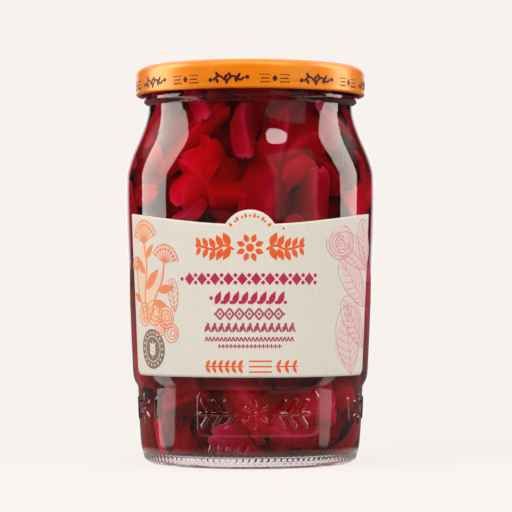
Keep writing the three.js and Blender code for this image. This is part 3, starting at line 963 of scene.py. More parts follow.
def scatter_tree(kinds, material):
    """Node tree: pieces picked from a collection, scattered over a flat sheet, with a tone for each."""
    tree = bpy.data.node_groups.new("scatter_pieces", "GeometryNodeTree")
    tree.interface.new_socket("Geometry", in_out="OUTPUT", socket_type="NodeSocketGeometry")
    for name, kind in SCATTER_INPUTS:
        tree.interface.new_socket(name, in_out="INPUT", socket_type=kind)
    nodes = Nodes(tree)
    given = nodes.add("NodeGroupInput").outputs
    grid = nodes.add("GeometryNodeMeshGrid", {
        "Size X": given["Width"], "Size Y": given["Height"],
        "Vertices X": given["Columns"], "Vertices Y": given["Rows"],
    })
    back = nodes.add("ShaderNodeVectorMath", {0: given["Jitter"], 1: (-1, -1, -1)}, operation="MULTIPLY")
    shake = nodes.add("FunctionNodeRandomValue", {
        0: back.outputs[0], 1: given["Jitter"], "Seed": given["Seed"],
    }, data_type="FLOAT_VECTOR")
    moved = nodes.add("GeometryNodeSetPosition", {
        "Geometry": grid.outputs["Mesh"], "Offset": shake.outputs[0],
    })
    picked = nodes.add("GeometryNodeCollectionInfo", {"Separate Children": True, "Reset Children": True})
    picked.inputs["Collection"].default_value = kinds
    later = [
        nodes.add("FunctionNodeIntegerMath", {0: given["Seed"], 1: step}).outputs[0] for step in (1, 2, 3, 4)
    ]
    turn = nodes.add("FunctionNodeRandomValue", {
        0: given["Turn Low"], 1: given["Turn High"], "Seed": later[0],
    }, data_type="FLOAT_VECTOR")
    size = nodes.add("FunctionNodeRandomValue", {
        2: given["Smallest"], 3: given["Largest"], "Seed": later[1],
    }, data_type="FLOAT")
    index = nodes.add("FunctionNodeRandomValue", {4: 0, 5: 99, "Seed": later[2]}, data_type="INT")
    placed = nodes.add("GeometryNodeInstanceOnPoints", {
        "Points": moved.outputs[0], "Instance": picked.outputs[0], "Pick Instance": True,
        "Instance Index": index.outputs[2], "Rotation": turn.outputs[0], "Scale": size.outputs[1],
    })
    shade = nodes.add("FunctionNodeRandomValue", {2: 0.0, 3: 1.0, "Seed": later[3]}, data_type="FLOAT")
    marked = nodes.add("GeometryNodeStoreNamedAttribute", {
        "Geometry": placed.outputs[0], "Name": "tone", "Value": shade.outputs[1],
    }, data_type="FLOAT", domain="INSTANCE")
    real = nodes.add("GeometryNodeRealizeInstances", {"Geometry": marked.outputs[0]})
    painted = nodes.add("GeometryNodeSetMaterial", {"Geometry": real.outputs[0], "Material": material})
    nodes.add("NodeGroupOutput", {"Geometry": painted.outputs[0]})
    return tree


def run_tree(name, tree, values):
    """A plain mesh object made by a node tree with those input values."""
    helper = object_from(name + "_base", [(0, 0, 0)], [])
    modifier = helper.modifiers.new("pieces", "NODES")
    modifier.node_group = tree
    for item in tree.interface.items_tree:
        if item.in_out == "INPUT" and item.name in values:
            modifier[item.identifier] = values[item.name]
    return plain_mesh(helper, name)


def kinds_collection(name, pieces):
    """The helper pieces in a collection of their own."""
    kinds = bpy.data.collections.new(name)
    bpy.context.scene.collection.children.link(kinds)
    for piece in pieces:
        bpy.context.scene.collection.objects.unlink(piece)
        kinds.objects.link(piece)
    return kinds


def scattered(name, pieces, material, values):
    """Pieces scattered by the node tree, as one plain mesh."""
    kinds = kinds_collection(name + "_kinds", pieces)
    tree = scatter_tree(kinds, material)
    made = run_tree(name, tree, values)
    remove_pieces(list(kinds.objects))
    bpy.data.collections.remove(kinds)
    bpy.data.node_groups.remove(tree)
    return made


def soft_floor(value, softness):
    """The value, kept above zero with a soft bend."""
    return softness * np.logaddexp(0, value / softness)


def move_up(piece, height):
    """Moves a flat piece up its sheet by a height in millimetres."""
    mesh = piece.data
    points = np.empty(len(mesh.vertices) * 3)
    mesh.vertices.foreach_get("co", points)
    points[1::3] += height * MM
    mesh.vertices.foreach_set("co", points)


def packed_at(wall, depth, clearance):
    """How pieces lie behind the glass: nothing comes nearer to the wall than the clearance."""
    def radius_at(y, z):
        height = PACK_LOW + soft_floor(y - PACK_LOW, 1.5)
        height = PACK_HIGH - soft_floor(PACK_HIGH - height, 1.5)
        inward = soft_floor(depth - z, 0.9)
        return inside_radius(height, wall) - clearance - inward, height
    return radius_at


def packed_layer(name, kinds, material, values, radius_at):
    """One layer of pieces, scattered over a flat sheet and then wrapped round inside the wall."""
    layer = scattered(name, kinds, material, values)
    move_up(layer, (PACK_LOW + PACK_HIGH) / 2)
    wrap_round(layer, PACK_RADIUS, radius_at)
    finish_piece(layer, "cabbage", "cabbage")


def painted_shade_core(wall, material):
    """The lumpy middle of the filling, dark by painted shade: its leaf colours are darkened and its tone is
    kept low.
    """
    heights = np.concatenate([[CORE_LOW + 0.1], np.linspace(CORE_LOW + 0.5, PACK_HIGH - 1, 80)])
    angle, height = np.meshgrid(np.radians(np.arange(0, 360, 3)), heights)
    lumps = waves(angle, height, (4, 22), (9, 34), 14, 8)
    radius = inside_radius(height, wall) - CORE_DEPTH + 1.2 * lumps
    radius[0] *= 0.7
    vertices, faces = turned_mesh(round_points(radius, angle, height), CORE_LOW, PACK_HIGH - 0.5)
    # Tone kept low, so the core takes the darker leaf colours, more painted shade.
    tone = np.clip(0.25 + 0.3 * lumps, 0, 1).ravel()
    spread = {"tone": np.concatenate([tone, [0, 0]]), "pale": np.zeros(len(vertices))}
    core = object_from("cabbage_core", vertices, faces, material, spread)
    finish_piece(core, "cabbage", "cabbage")


class JAR_OT_cabbage(bpy.types.Operator):
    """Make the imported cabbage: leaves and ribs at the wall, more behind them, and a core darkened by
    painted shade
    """

    bl_idname = "cabbage_jar.cabbage"
    bl_label = "Cabbage"

    def execute(self, context):
        settings = context.scene.cabbage_jar.filling
        wall = context.scene.cabbage_jar.glass.wall / MM
        material = leaf_material(settings)
        draw = np.random.default_rng(settings.seed)
        values = {
            "Width": ROUND_ARC * MM * (1 - 1 / settings.columns), "Height": (PACK_HIGH - PACK_LOW - 3) * MM,
            "Columns": settings.columns, "Rows": settings.rows, "Jitter": (0.008, 0.006, 0.0024),
            "Turn Low": (-0.22, -0.22, -3.2), "Turn High": (0.22, 0.22, 3.2),
            "Smallest": 0.75, "Largest": 1.2, "Seed": settings.seed,
        }
        front = packed_at(wall, settings.depth / MM, FRONT_CLEARANCE)
        packed_layer("cabbage_leaves", leaf_kinds("front", draw, 9, 3), material, values, front)
        values.update({
            "Rows": settings.rows - 2, "Columns": settings.columns - 3, "Seed": settings.seed + 40,
        })
        behind = packed_at(wall, settings.deep_depth / MM, DEEP_CLEARANCE)
        packed_layer("cabbage_behind", leaf_kinds("deep", draw, 6, 1, 1.25), material, values, behind)
        # The core's leaf colours are darkened to 0.6 of the leaves' colours, a painted shade for the deep
        # middle of the jar.
        painted_shade_core(wall, leaf_material(settings, "painted_shade_core", 0.6))
        return {"FINISHED"}


def lid_profile(radius):
    """Outline of the pressed lid, from the middle of its underside to the middle of its top."""
    panel_top = TOTAL_HEIGHT - SUNK_DROP
    under = TOTAL_HEIGHT - LID_SHEET
    button_top = panel_top + BUTTON_RISE
    middle = (radius - SHOULDER_WIDTH, TOTAL_HEIGHT - SHOULDER)
    underside = [
        (BUTTON_RADIUS, button_top - LID_SHEET), (BUTTON_RADIUS + 1, panel_top - LID_SHEET),
        (SUNK_RADIUS, panel_top - LID_SHEET), (CHANNEL_RADIUS, under),
    ]
    inside = arc_points(middle, SHOULDER_WIDTH - LID_SHEET, SHOULDER - LID_SHEET, 90, 0, 8)
    curl = arc_points((radius - CURL, SKIRT_LOW + CURL), CURL, CURL, 120, 360, 16)
    skirt = [(radius - 0.12, SKIRT_LOW + 2.1), (radius - 0.12, SKIRT_LOW + 2.5)]
    wall = [(radius, TOTAL_HEIGHT - SHOULDER - step) for step in (4.6, 3.4, 2.2, 1.0, 0.3)]
    shoulder = arc_points(middle, SHOULDER_WIDTH, SHOULDER, 0, 90, 18)
    edge = CHANNEL_RADIUS + LID_SHEET
    slope = [
        (edge + 0.5, TOTAL_HEIGHT), (edge, TOTAL_HEIGHT - 0.06), (edge - 0.5, TOTAL_HEIGHT - 0.45),
        (SUNK_RADIUS + 0.3, panel_top + 0.05), (SUNK_RADIUS - 0.2, panel_top),
    ]
    rings = []
    for ring in LID_RINGS:
        for aside, rise in ((0.6, 0), (0.3, 0.12), (-0.3, 0.12), (-0.6, 0)):
            rings.append((ring + aside, panel_top + rise))
    button = [
        (BUTTON_RADIUS + 1.3, panel_top), (BUTTON_RADIUS + 0.8, panel_top + 0.08),
        (BUTTON_RADIUS + 0.2, button_top - 0.08), (BUTTON_RADIUS - 0.4, button_top), (7, button_top),
    ]
    return np.array([*underside, *inside, *curl, *skirt, *wall, *shoulder, *slope, *rings, *button], float)


def recalculate(piece):
    """Turns all faces of a closed piece outwards."""
    work = bmesh.new()
    work.from_mesh(piece.data)
    bmesh.ops.recalc_face_normals(work, faces=work.faces)
    work.to_mesh(piece.data)
    work.free()


class JAR_OT_lid(bpy.types.Operator):
    """Make the pressed lid in its orange lacquer"""

    bl_idname = "cabbage_jar.lid"
    bl_label = "Lid"

    def execute(self, context):
        settings = context.scene.cabbage_jar.lid
        profile = lid_profile(settings.radius / MM)
        angle, height = np.meshgrid(np.radians(np.arange(0, 360, 1.5)), profile[:, 1])
        radius = np.repeat(profile[:, :1], angle.shape[1], 1)
        button_top = TOTAL_HEIGHT - SUNK_DROP + BUTTON_RISE
        points = round_points(radius, angle, height)
        vertices, faces = turned_mesh(points, button_top - LID_SHEET, button_top)
        piece = object_from("twist_off_lid", vertices, faces, lacquer_material(settings))
        recalculate(piece)
        finish_piece(piece, "lid_lacquer", "lid")
        return {"FINISHED"}


def strip(points, widths, loop=False, level=1):
    """A flat band along a line, as a thin closed body. widths is its width, or one for each point."""
    points = np.asarray(points, float)
    widths = np.broadcast_to(np.asarray(widths, float), len(points))
    if loop:
        points, widths = points[:-1], widths[:-1]
        tangent = np.roll(points, -1, 0) - np.roll(points, 1, 0)
    else:
        tangent = np.gradient(points, axis=0)
    tangent /= np.maximum(np.linalg.norm(tangent, axis=1, keepdims=True), 1e-9)
    normal = np.stack([-tangent[:, 1], tangent[:, 0]], 1)
    across = np.linspace(0.5, -0.5, 2 + int(widths.max() / 1.5))
    flat = points[:, None] + normal[:, None] * (widths[:, None] * across)[..., None]
    front = np.concatenate([flat, np.full((*flat.shape[:2], 1), INK_DEPTH + level * INK_LAYER)], -1)
    back = np.concatenate([flat, np.zeros((*flat.shape[:2], 1))], -1)
    return closed_sheet(front, back, loop)


def spaced(points, step=0.9):
    """The line through the points with about equal steps."""
    points = np.asarray(points, float)
    run = np.concatenate([[0], np.cumsum(np.linalg.norm(np.diff(points, axis=0), axis=1))])
    count = max(2, int(round(run[-1] / step)) + 1)
    wanted = np.linspace(0, run[-1], count)
    return np.stack([np.interp(wanted, run, points[:, axis]) for axis in (0, 1)], 1)


def curve(*points, step=0.8):
    """A smooth line through a few points."""
    points = np.asarray(points, float)
    last = len(points) - 1
    fine = np.linspace(0, last, 16 * last + 1)
    padded = np.vstack([2 * points[0] - points[1], points, 2 * points[-1] - points[-2]])
    low = np.minimum(fine.astype(int), last - 1)
    f = (fine - low)[:, None]
    a, b, c, d = (padded[low + shift] for shift in range(4))
    square, cube = 2 * a - 5 * b + 4 * c - d, 3 * b - a - 3 * c + d
    return spaced(0.5 * (2 * b + (c - a) * f + square * f ** 2 + cube * f ** 3), step)


def filled_leaf(x, y, long, wide, turn, step=0.9, level=1):
    """A filled pointed leaf that starts at (x, y)."""
    count = max(5, int(long / step) + 1)
    t = np.linspace(0, 1, count)
    c, s = math.cos(math.radians(turn)), math.sin(math.radians(turn))
    line = np.stack([x + long * t * c, y + long * t * s], 1)
    return strip(line, np.maximum(wide * np.sin(math.pi * t ** 0.85), 0.12), level=level)


def disc(x, y, radius, level=1):
    """A filled dot."""
    t = np.linspace(-1, 1, max(7, int(radius * 2 / 0.8) + 3))
    t = np.sin(t * math.pi / 2)
    line = np.stack([x + radius * t, np.full(len(t), y)], 1)
    return strip(line, np.maximum(2 * radius * np.sqrt(np.clip(1 - t ** 2, 0, 1)), 0.08), level=level)


def lozenge(x, y, wide, tall):
    """A filled diamond."""
    t = np.linspace(-1, 1, max(5, int(wide / 0.8) + 1))
    line = np.stack([x + wide / 2 * t, np.full(len(t), y)], 1)
    return strip(line, np.maximum(tall * (1 - np.abs(t)), 0.08))


def line_loop(loop, width, level=1):
    """A closed outline drawn with a pen of that width."""
    return strip(spaced(loop, 0.7), width, loop=True, level=level)


def mirrored(points):
    """The same line on the other side of the label's middle."""
    return [(-x, y) for x, y in points]


def veined_leaf(x, y, long, wide, turn, pen, veins=6, level=2):
    """A leaf drawn in line: its outline, its midrib and curved side veins."""
    c, s = math.cos(math.radians(turn)), math.sin(math.radians(turn))
    parts = [line_loop(leaf_loop(x, y, long, wide, turn), pen, level)]

    def at(along, aside):
        return (x + along * c - aside * s, y + along * s + aside * c)

    midrib = curve(at(0, 0), at(0.5 * long, 0.03 * wide), at(0.95 * long, 0), step=0.9)
    parts.append(strip(midrib, pen, level=level))
    for number in range(veins):
        start = long * (0.1 + 0.78 * number / veins)
        reach = 0.36 * wide * math.sin(math.pi * min(0.97, (start + 0.16 * long) / long)) + 0.04 * wide
        for side in (-1, 1):
            bend, end = at(start + 0.07 * long, side * reach * 0.55), at(start + 0.16 * long, side * reach)
            parts.append(strip(curve(at(start, 0), bend, end), pen * 0.8, level=level))
    return parts


def umbel(x, y, rays, reach, turn, pen):
    """A flower head of rays that end in dots."""
    parts = []
    for number in range(rays):
        angle = math.radians(turn + 130 * (number / (rays - 1) - 0.5))
        end = (x + reach * math.cos(angle), y + reach * math.sin(angle))
        parts.append(strip(spaced([(x, y), end], 0.8), pen, level=2))
        parts.append(disc(*end, 0.62, level=2))
        for tilt in (-0.35, 0.35):
            tip = (end[0] + 1.5 * math.cos(angle + tilt), end[1] + 1.5 * math.sin(angle + tilt))
            parts.append(disc(*tip, 0.42, level=2))
    return parts


REPEAT_INPUTS = (("Count", "NodeSocketInt"), ("Step", "NodeSocketFloat"), ("Start", "NodeSocketVector"))


def repeat_tree(motif, material):
    """Node tree: one motif repeated along a straight line at equal steps."""
    tree = bpy.data.node_groups.new("repeat_motif", "GeometryNodeTree")
    tree.interface.new_socket("Geometry", in_out="OUTPUT", socket_type="NodeSocketGeometry")
    for name, kind in REPEAT_INPUTS:
        tree.interface.new_socket(name, in_out="INPUT", socket_type=kind)
    nodes = Nodes(tree)
    given = nodes.add("NodeGroupInput").outputs
    step = nodes.add("ShaderNodeCombineXYZ", {"X": given["Step"]})
    line = nodes.add("GeometryNodeMeshLine", {
        "Count": given["Count"], "Start Location": given["Start"], "Offset": step.outputs[0],
    })
    shape = nodes.add("GeometryNodeObjectInfo", {"Object": motif})
    placed = nodes.add("GeometryNodeInstanceOnPoints", {
        "Points": line.outputs[0], "Instance": shape.outputs["Geometry"],
    })
    real = nodes.add("GeometryNodeRealizeInstances", {"Geometry": placed.outputs[0]})
    painted = nodes.add("GeometryNodeSetMaterial", {"Geometry": real.outputs[0], "Material": material})
    nodes.add("NodeGroupOutput", {"Geometry": painted.outputs[0]})
    return tree


def repeated(name, parts, material, count, step, start):
    """A flat motif repeated along a line by the node tree, as one plain mesh. Sizes in millimetres."""
    motif = object_from(name + "_motif", *joined(parts))
    tree = repeat_tree(motif, material)
    first = (start[0] * MM, start[1] * MM, 0)
    made = run_tree(name, tree, {"Count": count, "Step": step * MM, "Start": first})
    remove_pieces([motif])
    bpy.data.node_groups.remove(tree)
    return made


def join_pieces(pieces, name, material):
    """Several plain pieces as one."""
    parts = []
    for piece in pieces:
        mesh = piece.data
        points = np.empty(len(mesh.vertices) * 3)
        mesh.vertices.foreach_get("co", points)
        parts.append((points.reshape(-1, 3) / MM, [tuple(polygon.vertices) for polygon in mesh.polygons]))
    remove_pieces(pieces)
    return object_from(name, *joined(parts), material)


def lid_large_motif():
    """The large ornament on the skirt: a leafy scroll between two buds."""
    turns = ((-5.6, -0.6), (-3.2, 0.9), (-0.8, -0.7), (1.8, 0.8), (4.2, -0.6), (5.8, 0.4))
    parts = [strip(curve(*turns, step=0.5), 0.8)]
    for x, y, turn in ((-3.6, 0.5, 118), (-1.4, -0.3, 60), (1.0, 0.3, 118), (3.2, 0.0, 60)):
        parts.append(filled_leaf(x, y, 2.3, 1.2, turn, 0.4))
    for x, y, turn in ((-4.4, 0.0, -70), (-0.2, -0.3, -110), (2.4, 0.3, -70)):
        parts.append(filled_leaf(x, y, 2.0, 1.1, turn, 0.4))
    parts += [disc(-6.6, -0.5, 0.75), disc(6.8, 0.4, 0.75)]
    return parts


def lid_small_motif():
    """The small ornament on the skirt: a diamond between two rows of short dashes."""
    parts = [lozenge(0, 0, 2.0, 2.6)]
    for side in (-1, 1):
        for y in (1.3, -1.3):
            for number in range(4):
                parts.append(disc(side * (2.2 + 0.95 * number), y, 0.3))
        parts.append(strip(spaced([(side * 2.0, 0), (side * 5.0, 0)], 0.7), 0.4))
    return parts


class JAR_OT_lid_print(bpy.types.Operator):
    """Make the dark red ornaments round the lid's skirt"""

    bl_idname = "cabbage_jar.lid_print"
    bl_label = "Lid ornaments"

    def execute(self, context):
        settings = context.scene.cabbage_jar.lid
        radius = settings.radius / MM
        material = ink_material("dark_red_ornament", settings.ornament, 0.5, 0.004)
        count = settings.ornaments
        step = 2 * math.pi * radius / count
        first = math.radians(FIRST_ORNAMENT) * radius
        pieces = []
        for name, motif, start in (
            ("large", lid_large_motif(), first), ("small", lid_small_motif(), first + step / 2),
        ):
            pieces.append(repeated(name, motif, material, count, step, (start, ORNAMENT_HEIGHT)))
        piece = join_pieces(pieces, "lid_ornaments", material)
        wrap_round(piece, radius, lambda y, z: (radius - INK_DEPTH + z, y))
        piece.data.shade_flat()
        finish_piece(piece, "lid_lacquer")
        return {"FINISHED"}


def medallion_round():
    """Radius of the medallion's edge and the height of its middle."""
    radius = (MEDALLION_HALF ** 2 + MEDALLION_RISE ** 2) / (2 * MEDALLION_RISE)
    return radius, LABEL_TOP + MEDALLION_RISE - radius


def label_top(arc):
    """Upper edge of the label: a shallow hollow curve with a half-round medallion in its middle."""
    edge = LABEL_TOP + LABEL_END_RISE * (1 - np.cos(math.pi * arc / LABEL_RISE_REACH)) / 2
    radius, middle = medallion_round()
    medallion = middle + np.sqrt(np.clip(radius ** 2 - arc ** 2, 0, None))
    return np.where(np.abs(arc) < MEDALLION_HALF, np.maximum(edge, medallion), edge)


def label_bottom(arc):
    """Lower edge of the label, with two round corners."""
    past = np.clip(np.abs(arc) - (LABEL_HALF - LABEL_CORNER), 0, LABEL_CORNER)
    return LABEL_LOW + LABEL_CORNER - np.sqrt(LABEL_CORNER ** 2 - past ** 2)


def on_label(lift_off):
    """How flat things lie on the label."""
    return lambda y, z: (wall_radius(y) + PAPER_LIFT + lift_off + z, y)


class JAR_OT_label(bpy.types.Operator):
    """Make the paper label"""

    bl_idname = "cabbage_jar.label"
    bl_label = "Label"

    def execute(self, context):
        settings = context.scene.cabbage_jar.label
        medallion = np.linspace(-MEDALLION_HALF, MEDALLION_HALF, 41)
        corner = LABEL_HALF - LABEL_CORNER * (1 - np.sin(np.linspace(0, math.pi / 2, 8)))
        plain = np.linspace(MEDALLION_HALF + 0.05, LABEL_HALF - LABEL_CORNER - 0.4, 48)
        right = np.concatenate([plain, corner])
        columns = np.concatenate([-right[::-1], medallion, right])
        part = np.linspace(0, 1, 60)[:, None]
        height = label_bottom(columns) + part * (label_top(columns) - label_bottom(columns))
        arc = np.repeat(columns[None], len(part), 0)
        front = np.stack([arc, height, np.full(arc.shape, PAPER_THICKNESS)], -1)
        back = np.stack([arc, height, np.zeros(arc.shape)], -1)
        piece = object_from("paper_label", *closed_sheet(front, back), paper_material(settings))
        wrap_round(piece, LABEL_RADIUS, on_label(0))
        finish_piece(piece, "label_paper", "label")
        return {"FINISHED"}


def print_piece(name, material, parts, chains=()):
    """One colour of print: loose shapes, and chains of one motif repeated along a line."""
    pieces = [object_from(name + "_shapes", *joined(parts))]
    for number, (motif, count, width, height) in enumerate(chains):
        step = width / (count - 1)
        start = (CHAIN_MIDDLE - width / 2, height)
        pieces.append(repeated(f"{name}_chain_{number}", motif, material, count, step, start))
    piece = join_pieces(pieces, name, material)
    wrap_round(piece, LABEL_RADIUS, on_label(PAPER_THICKNESS - INK_DEPTH))
    piece.data.shade_flat()
    return finish_piece(piece, "label_paper")


def title_ornament():
    """The bold ornament at the head of the label: a flower between two leafy branches."""
    parts = [disc(0, TITLE_HEIGHT, 1.5)]
    for petal in range(8):
        turn = petal * 45 + 22.5
        c, s = math.cos(math.radians(turn)), math.sin(math.radians(turn))
        parts.append(filled_leaf(2.0 * c, TITLE_HEIGHT + 2.0 * s, 3.2, 2.1, turn, 0.5))
    branch = [(x, TITLE_HEIGHT + rise) for x, rise in ((5.8, -0.6), (9.2, 0.8), (13.2, -0.6), (18.6, 0.8))]
    for line in (branch, mirrored(branch)):
        parts.append(strip(curve(*line), 0.9))
    for number in range(5):
        x = 7.2 + 2.75 * number
        foot = TITLE_HEIGHT + 0.5 * math.cos(number * 1.6)
        size = 1 - 0.09 * number
        for side in (-1, 1):
            for leaf_x, turn in ((x, side * 62), (-x, 180 - side * 62)):
                parts.append(filled_leaf(leaf_x, foot + 0.3 * side, 5.2 * size, 2.7 * size, turn, 0.7))
    return parts + [disc(side * 19.2, TITLE_HEIGHT + 0.9, 0.9) for side in (-1, 1)]


def foot_ornaments():
    """The row at the foot of the label: two leafy sprigs with three thin rules between."""
    parts = []
    for start, end in ((-17.2, -2.4), (9.6, 18.2)):
        parts.append(strip(spaced([(start, FOOT_HEIGHT), (end, FOOT_HEIGHT)]), 0.5))
        count = int((end - start) / 2.4)
        for number in range(count):
            x = start + 1.2 + number * (end - start - 2.4) / max(1, count - 1)
            for side in (-1, 1):
                parts.append(filled_leaf(x - 0.6, FOOT_HEIGHT + 0.1 * side, 2.7, 1.35, 58 * side))
    for rise in (1.9, 0, -1.9):
        parts.append(strip(spaced([(-0.4, FOOT_HEIGHT + rise), (8.2, FOOT_HEIGHT + rise)]), 0.55))
    return parts


def medallion_ornament():
    """An arc of small leaves and dots inside the medallion."""
    radius, middle = medallion_round()
    parts = []
    for number in range(11):
        angle = 38 + 104 * number / 10
        x = (radius - 2.1) * math.cos(math.radians(angle))
        y = middle + (radius - 2.1) * math.sin(math.radians(angle))
        if number % 2:
            parts.append(disc(x, y, 0.42))
        else:
            parts.append(filled_leaf(x, y - 0.7, 1.7, 1.0, angle, 0.4))
    return parts + [disc(11.9, 85.6, 0.45)]


def orange_plants():
    """The plants at the left of the label, in orange line: flower heads over a bunch of round leaves."""
    parts = []
    stems = (
        ((-45.0, 53.0), (-46.2, 62.0), (-44.4, 72.0), (-45.6, 80.6)),
        ((-43.0, 53.0), (-39.6, 61.0), (-35.6, 67.0), (-34.2, 73.4)),
        ((-46.8, 53.0), (-49.8, 60.0), (-51.6, 66.0), (-51.8, 71.0)),
    )
    for stem in stems:
        parts.append(strip(curve(*stem), 0.75, level=2))
    parts += umbel(-45.6, 80.6, 11, 6.8, 92, 0.42) + umbel(-34.2, 73.4, 9, 5.2, 78, 0.42)
    parts += umbel(-51.8, 71.0, 6, 3.2, 100, 0.4)
    for x, y, long, wide, turn in (
        (-45.4, 64.0, 11.0, 3.8, 42), (-45.4, 69.6, 9.0, 3.2, 136), (-44.8, 75.0, 7.4, 2.6, 48),
        (-38.0, 63.6, 8.6, 3.2, 8), (-40.6, 59.4, 7.4, 3.0, -10), (-49.6, 59.6, 6.4, 2.6, 150),
    ):
        parts.append(filled_leaf(x, y, long, wide, turn, level=2))
    for x, y, radius in (
        (-47.0, 55.0, 4.2), (-40.6, 55.6, 4.6), (-34.4, 54.0, 4.0), (-31.6, 48.4, 3.4), (-37.2, 50.4, 3.0),
    ):
        for part in (1.0, 0.66, 0.34):
            parts.append(line_loop(circle_loop(x + 0.3 * (1 - part) * radius, y, radius * part), 0.42, 2))
    parts += veined_leaf(-29.6, 56.0, 12.0, 5.4, 96, 0.34, 5)
    return parts


def peach_fills():
    """Pale tints behind the orange plants."""
    parts = [filled_leaf(-50.6, 56.0, 21.0, 8.0, 42), filled_leaf(-49.0, 62.0, 23.0, 7.0, 78)]
    rounds = ((-40.6, 55.4, 4.3), (-34.4, 53.8, 3.6), (-45.6, 85.2, 4.2), (-47.2, 54.8, 3.8))
    return parts + [disc(*place) for place in rounds]


PINK_LEAVES = (
    (45.5, 33.6, 25.0, 18.0, 100), (54.6, 43.0, 24.0, 12.5, 132), (54.8, 58.0, 25.0, 13.0, 138),
    (54.8, 72.0, 23.0, 12.0, 152), (54.0, 71.0, 19.0, 10.5, 104),
)


def pink_plants():
    """The plants at the right of the label, in pink line: a spray of veined leaves and a curled head."""
    parts = []
    for leaf in PINK_LEAVES:
        parts += veined_leaf(*leaf, 0.3, 7)
    for number in range(5):
        radius = 1.5 + 1.4 * number
        turn = np.radians(np.linspace(30 + 35 * number, 300 + 35 * number, 14 + 6 * number))
        x, y = CURLED_HEAD
        line = np.stack([x + radius * np.cos(turn), y + 0.86 * radius * np.sin(turn)], 1)
        parts.append(strip(spaced(line, 0.7), 0.34, level=2))
    return parts


def blush_fills():
    """Pale tints behind the pink plants."""
    parts = [filled_leaf(x, y, long, wide * 0.96, turn) for x, y, long, wide, turn in PINK_LEAVES]
    return parts + [disc(*CURLED_HEAD, 6.4)]


def seal_marks():
    """Pale marks on the round seal: a ring, dots round it and a sprig."""
    x, y = SEAL_PLACE
    parts = [line_loop(circle_loop(x, y, 4.6, 30), 0.3, 3)]
    for number in range(18):
        angle = 2 * math.pi * number / 18
        parts.append(disc(x + 5.9 * math.cos(angle), y + 5.9 * math.sin(angle), 0.42, level=3))
    parts.append(strip(spaced([(x, y - 3.2), (x, y + 3.0)]), 0.36, level=3))
    for step in (-2.2, -0.8, 0.6):
        for turn in (40, 140):
            parts.append(filled_leaf(x, y + step, 2.5, 1.2, turn, 0.5, 3))
    return parts


def print_bold_lines(ink):
    """The two bold lines under the head of the label: lozenges with dots between, and leaves with dots."""
    first, second = LINE_HEIGHTS[:2]
    lozenges = [lozenge(0, 0, 3.9, 4.6), disc(2.5, 1.3, 0.72), disc(2.5, -1.3, 0.72)]
    leaves = [filled_leaf(-0.9, -2.4, 5.2, 2.3, 66), disc(1.7, -1.6, 0.66)]
    ends = [disc(-26.0, first, 0.7), disc(-14.4, second - 0.1, 0.7)]
    print_piece("crimson_print", ink, ends, ((lozenges, 10, 45.0, first), (leaves, 8, 23.2, second)))


def print_thin_lines(ink):
    """The four thinner lines: open diamonds, leaves with slanting strokes, chevrons, and short strokes."""
    third, fourth, fifth, sixth = LINE_HEIGHTS[2:]
    corners = np.array([(-1.6, 0), (0, 2.0), (1.6, 0), (0, -2.0), (-1.6, 0)], float)
    diamond = [line_loop(corners, 0.75), disc(0, 0, 0.5)]
    leaf = [filled_leaf(-0.9, -1.7, 3.8, 1.5, 62), strip(spaced([(0.1, 1.6), (1.3, -1.6)], 0.8), 0.7)]
    chevron = [strip(spaced([(-0.6, -0.8), (0, 0.9), (0.6, -0.8)], 0.5), 0.5)]
    stroke = [strip(spaced([(0, -0.7), (0, 0.7)], 0.5), 0.62), disc(0.75, 0, 0.32)]
    ends = [disc(-12.9, third, 0.5), disc(12.5, third, 0.5)]
    print_piece("rose_print", ink, ends, (
        (diamond, 7, 21.6, third), (leaf, 13, 31.6, fourth),
        (chevron, 23, 32.2, fifth), (stroke, 16, 22.4, sixth),
    ))


class JAR_OT_label_print(bpy.types.Operator):
    """Make the label's print, one piece for each colour"""

    bl_idname = "cabbage_jar.label_print"
    bl_label = "Label print"

    def execute(self, context):
        settings = context.scene.cabbage_jar.label
        loose = title_ornament() + foot_ornaments() + medallion_ornament()
        print_piece("orange_print", ink_material("orange_ink", settings.orange), loose)
        print_bold_lines(ink_material("crimson_ink", settings.crimson))
        print_thin_lines(ink_material("rose_ink", settings.rose))
        for name, ink, shade, parts in (
            ("peach_tint", "peach_ink", settings.peach, peach_fills()),
            ("orange_plants", "soft_orange_ink", settings.soft_orange, orange_plants()),
            ("blush_tint", "blush_ink", settings.blush, blush_fills()),
            ("pink_plants", "pink_ink", settings.pink, pink_plants()),
            ("brown_seal", "brown_ink", settings.brown, [disc(*SEAL_PLACE, SEAL_RADIUS, level=2)]),
            ("seal_marks", "cream_ink", settings.paper, seal_marks()),
        ):
            print_piece(name, ink_material(ink, shade), parts)
        return {"FINISHED"}


def studio_point(turn, rise, distance):
    """A place round the jar: degrees to the right of the camera, degrees up, and metres away."""
    turn, rise = math.radians(turn), math.radians(rise)
    flat = distance * math.cos(rise)
    return (flat * math.sin(turn), -flat * math.cos(turn), STUDIO_HEIGHT + distance * math.sin(rise))


def light(name, place, size, radiance, tint=(1.0, 1.0, 1.0), shape="RECTANGLE", gloss_only=True):
    """An unseen light at that studio point, turned to the jar, of that width, height and brightness.

    It shows only in what is glossy, or else only on what is matt.
    """
    data = bpy.data.lights.new(name, "AREA")
    data.shape = shape
    data.size, data.size_y = size
    data.color = tint
    area = size[0] * size[1] * (math.pi / 4 if shape == "ELLIPSE" else 1)
    data.energy = radiance * math.pi * area
    lamp = bpy.data.objects.new(name, data)
    lamp.location = studio_point(*place)
    lamp.rotation_euler = (Vector(LIGHT_AIM) - lamp.location).to_track_quat("-Z", "Y").to_euler()
    lamp.visible_camera = False
    lamp.visible_transmission = False
    lamp.visible_diffuse = not gloss_only
    lamp.visible_glossy = gloss_only
    bpy.context.scene.collection.objects.link(lamp)


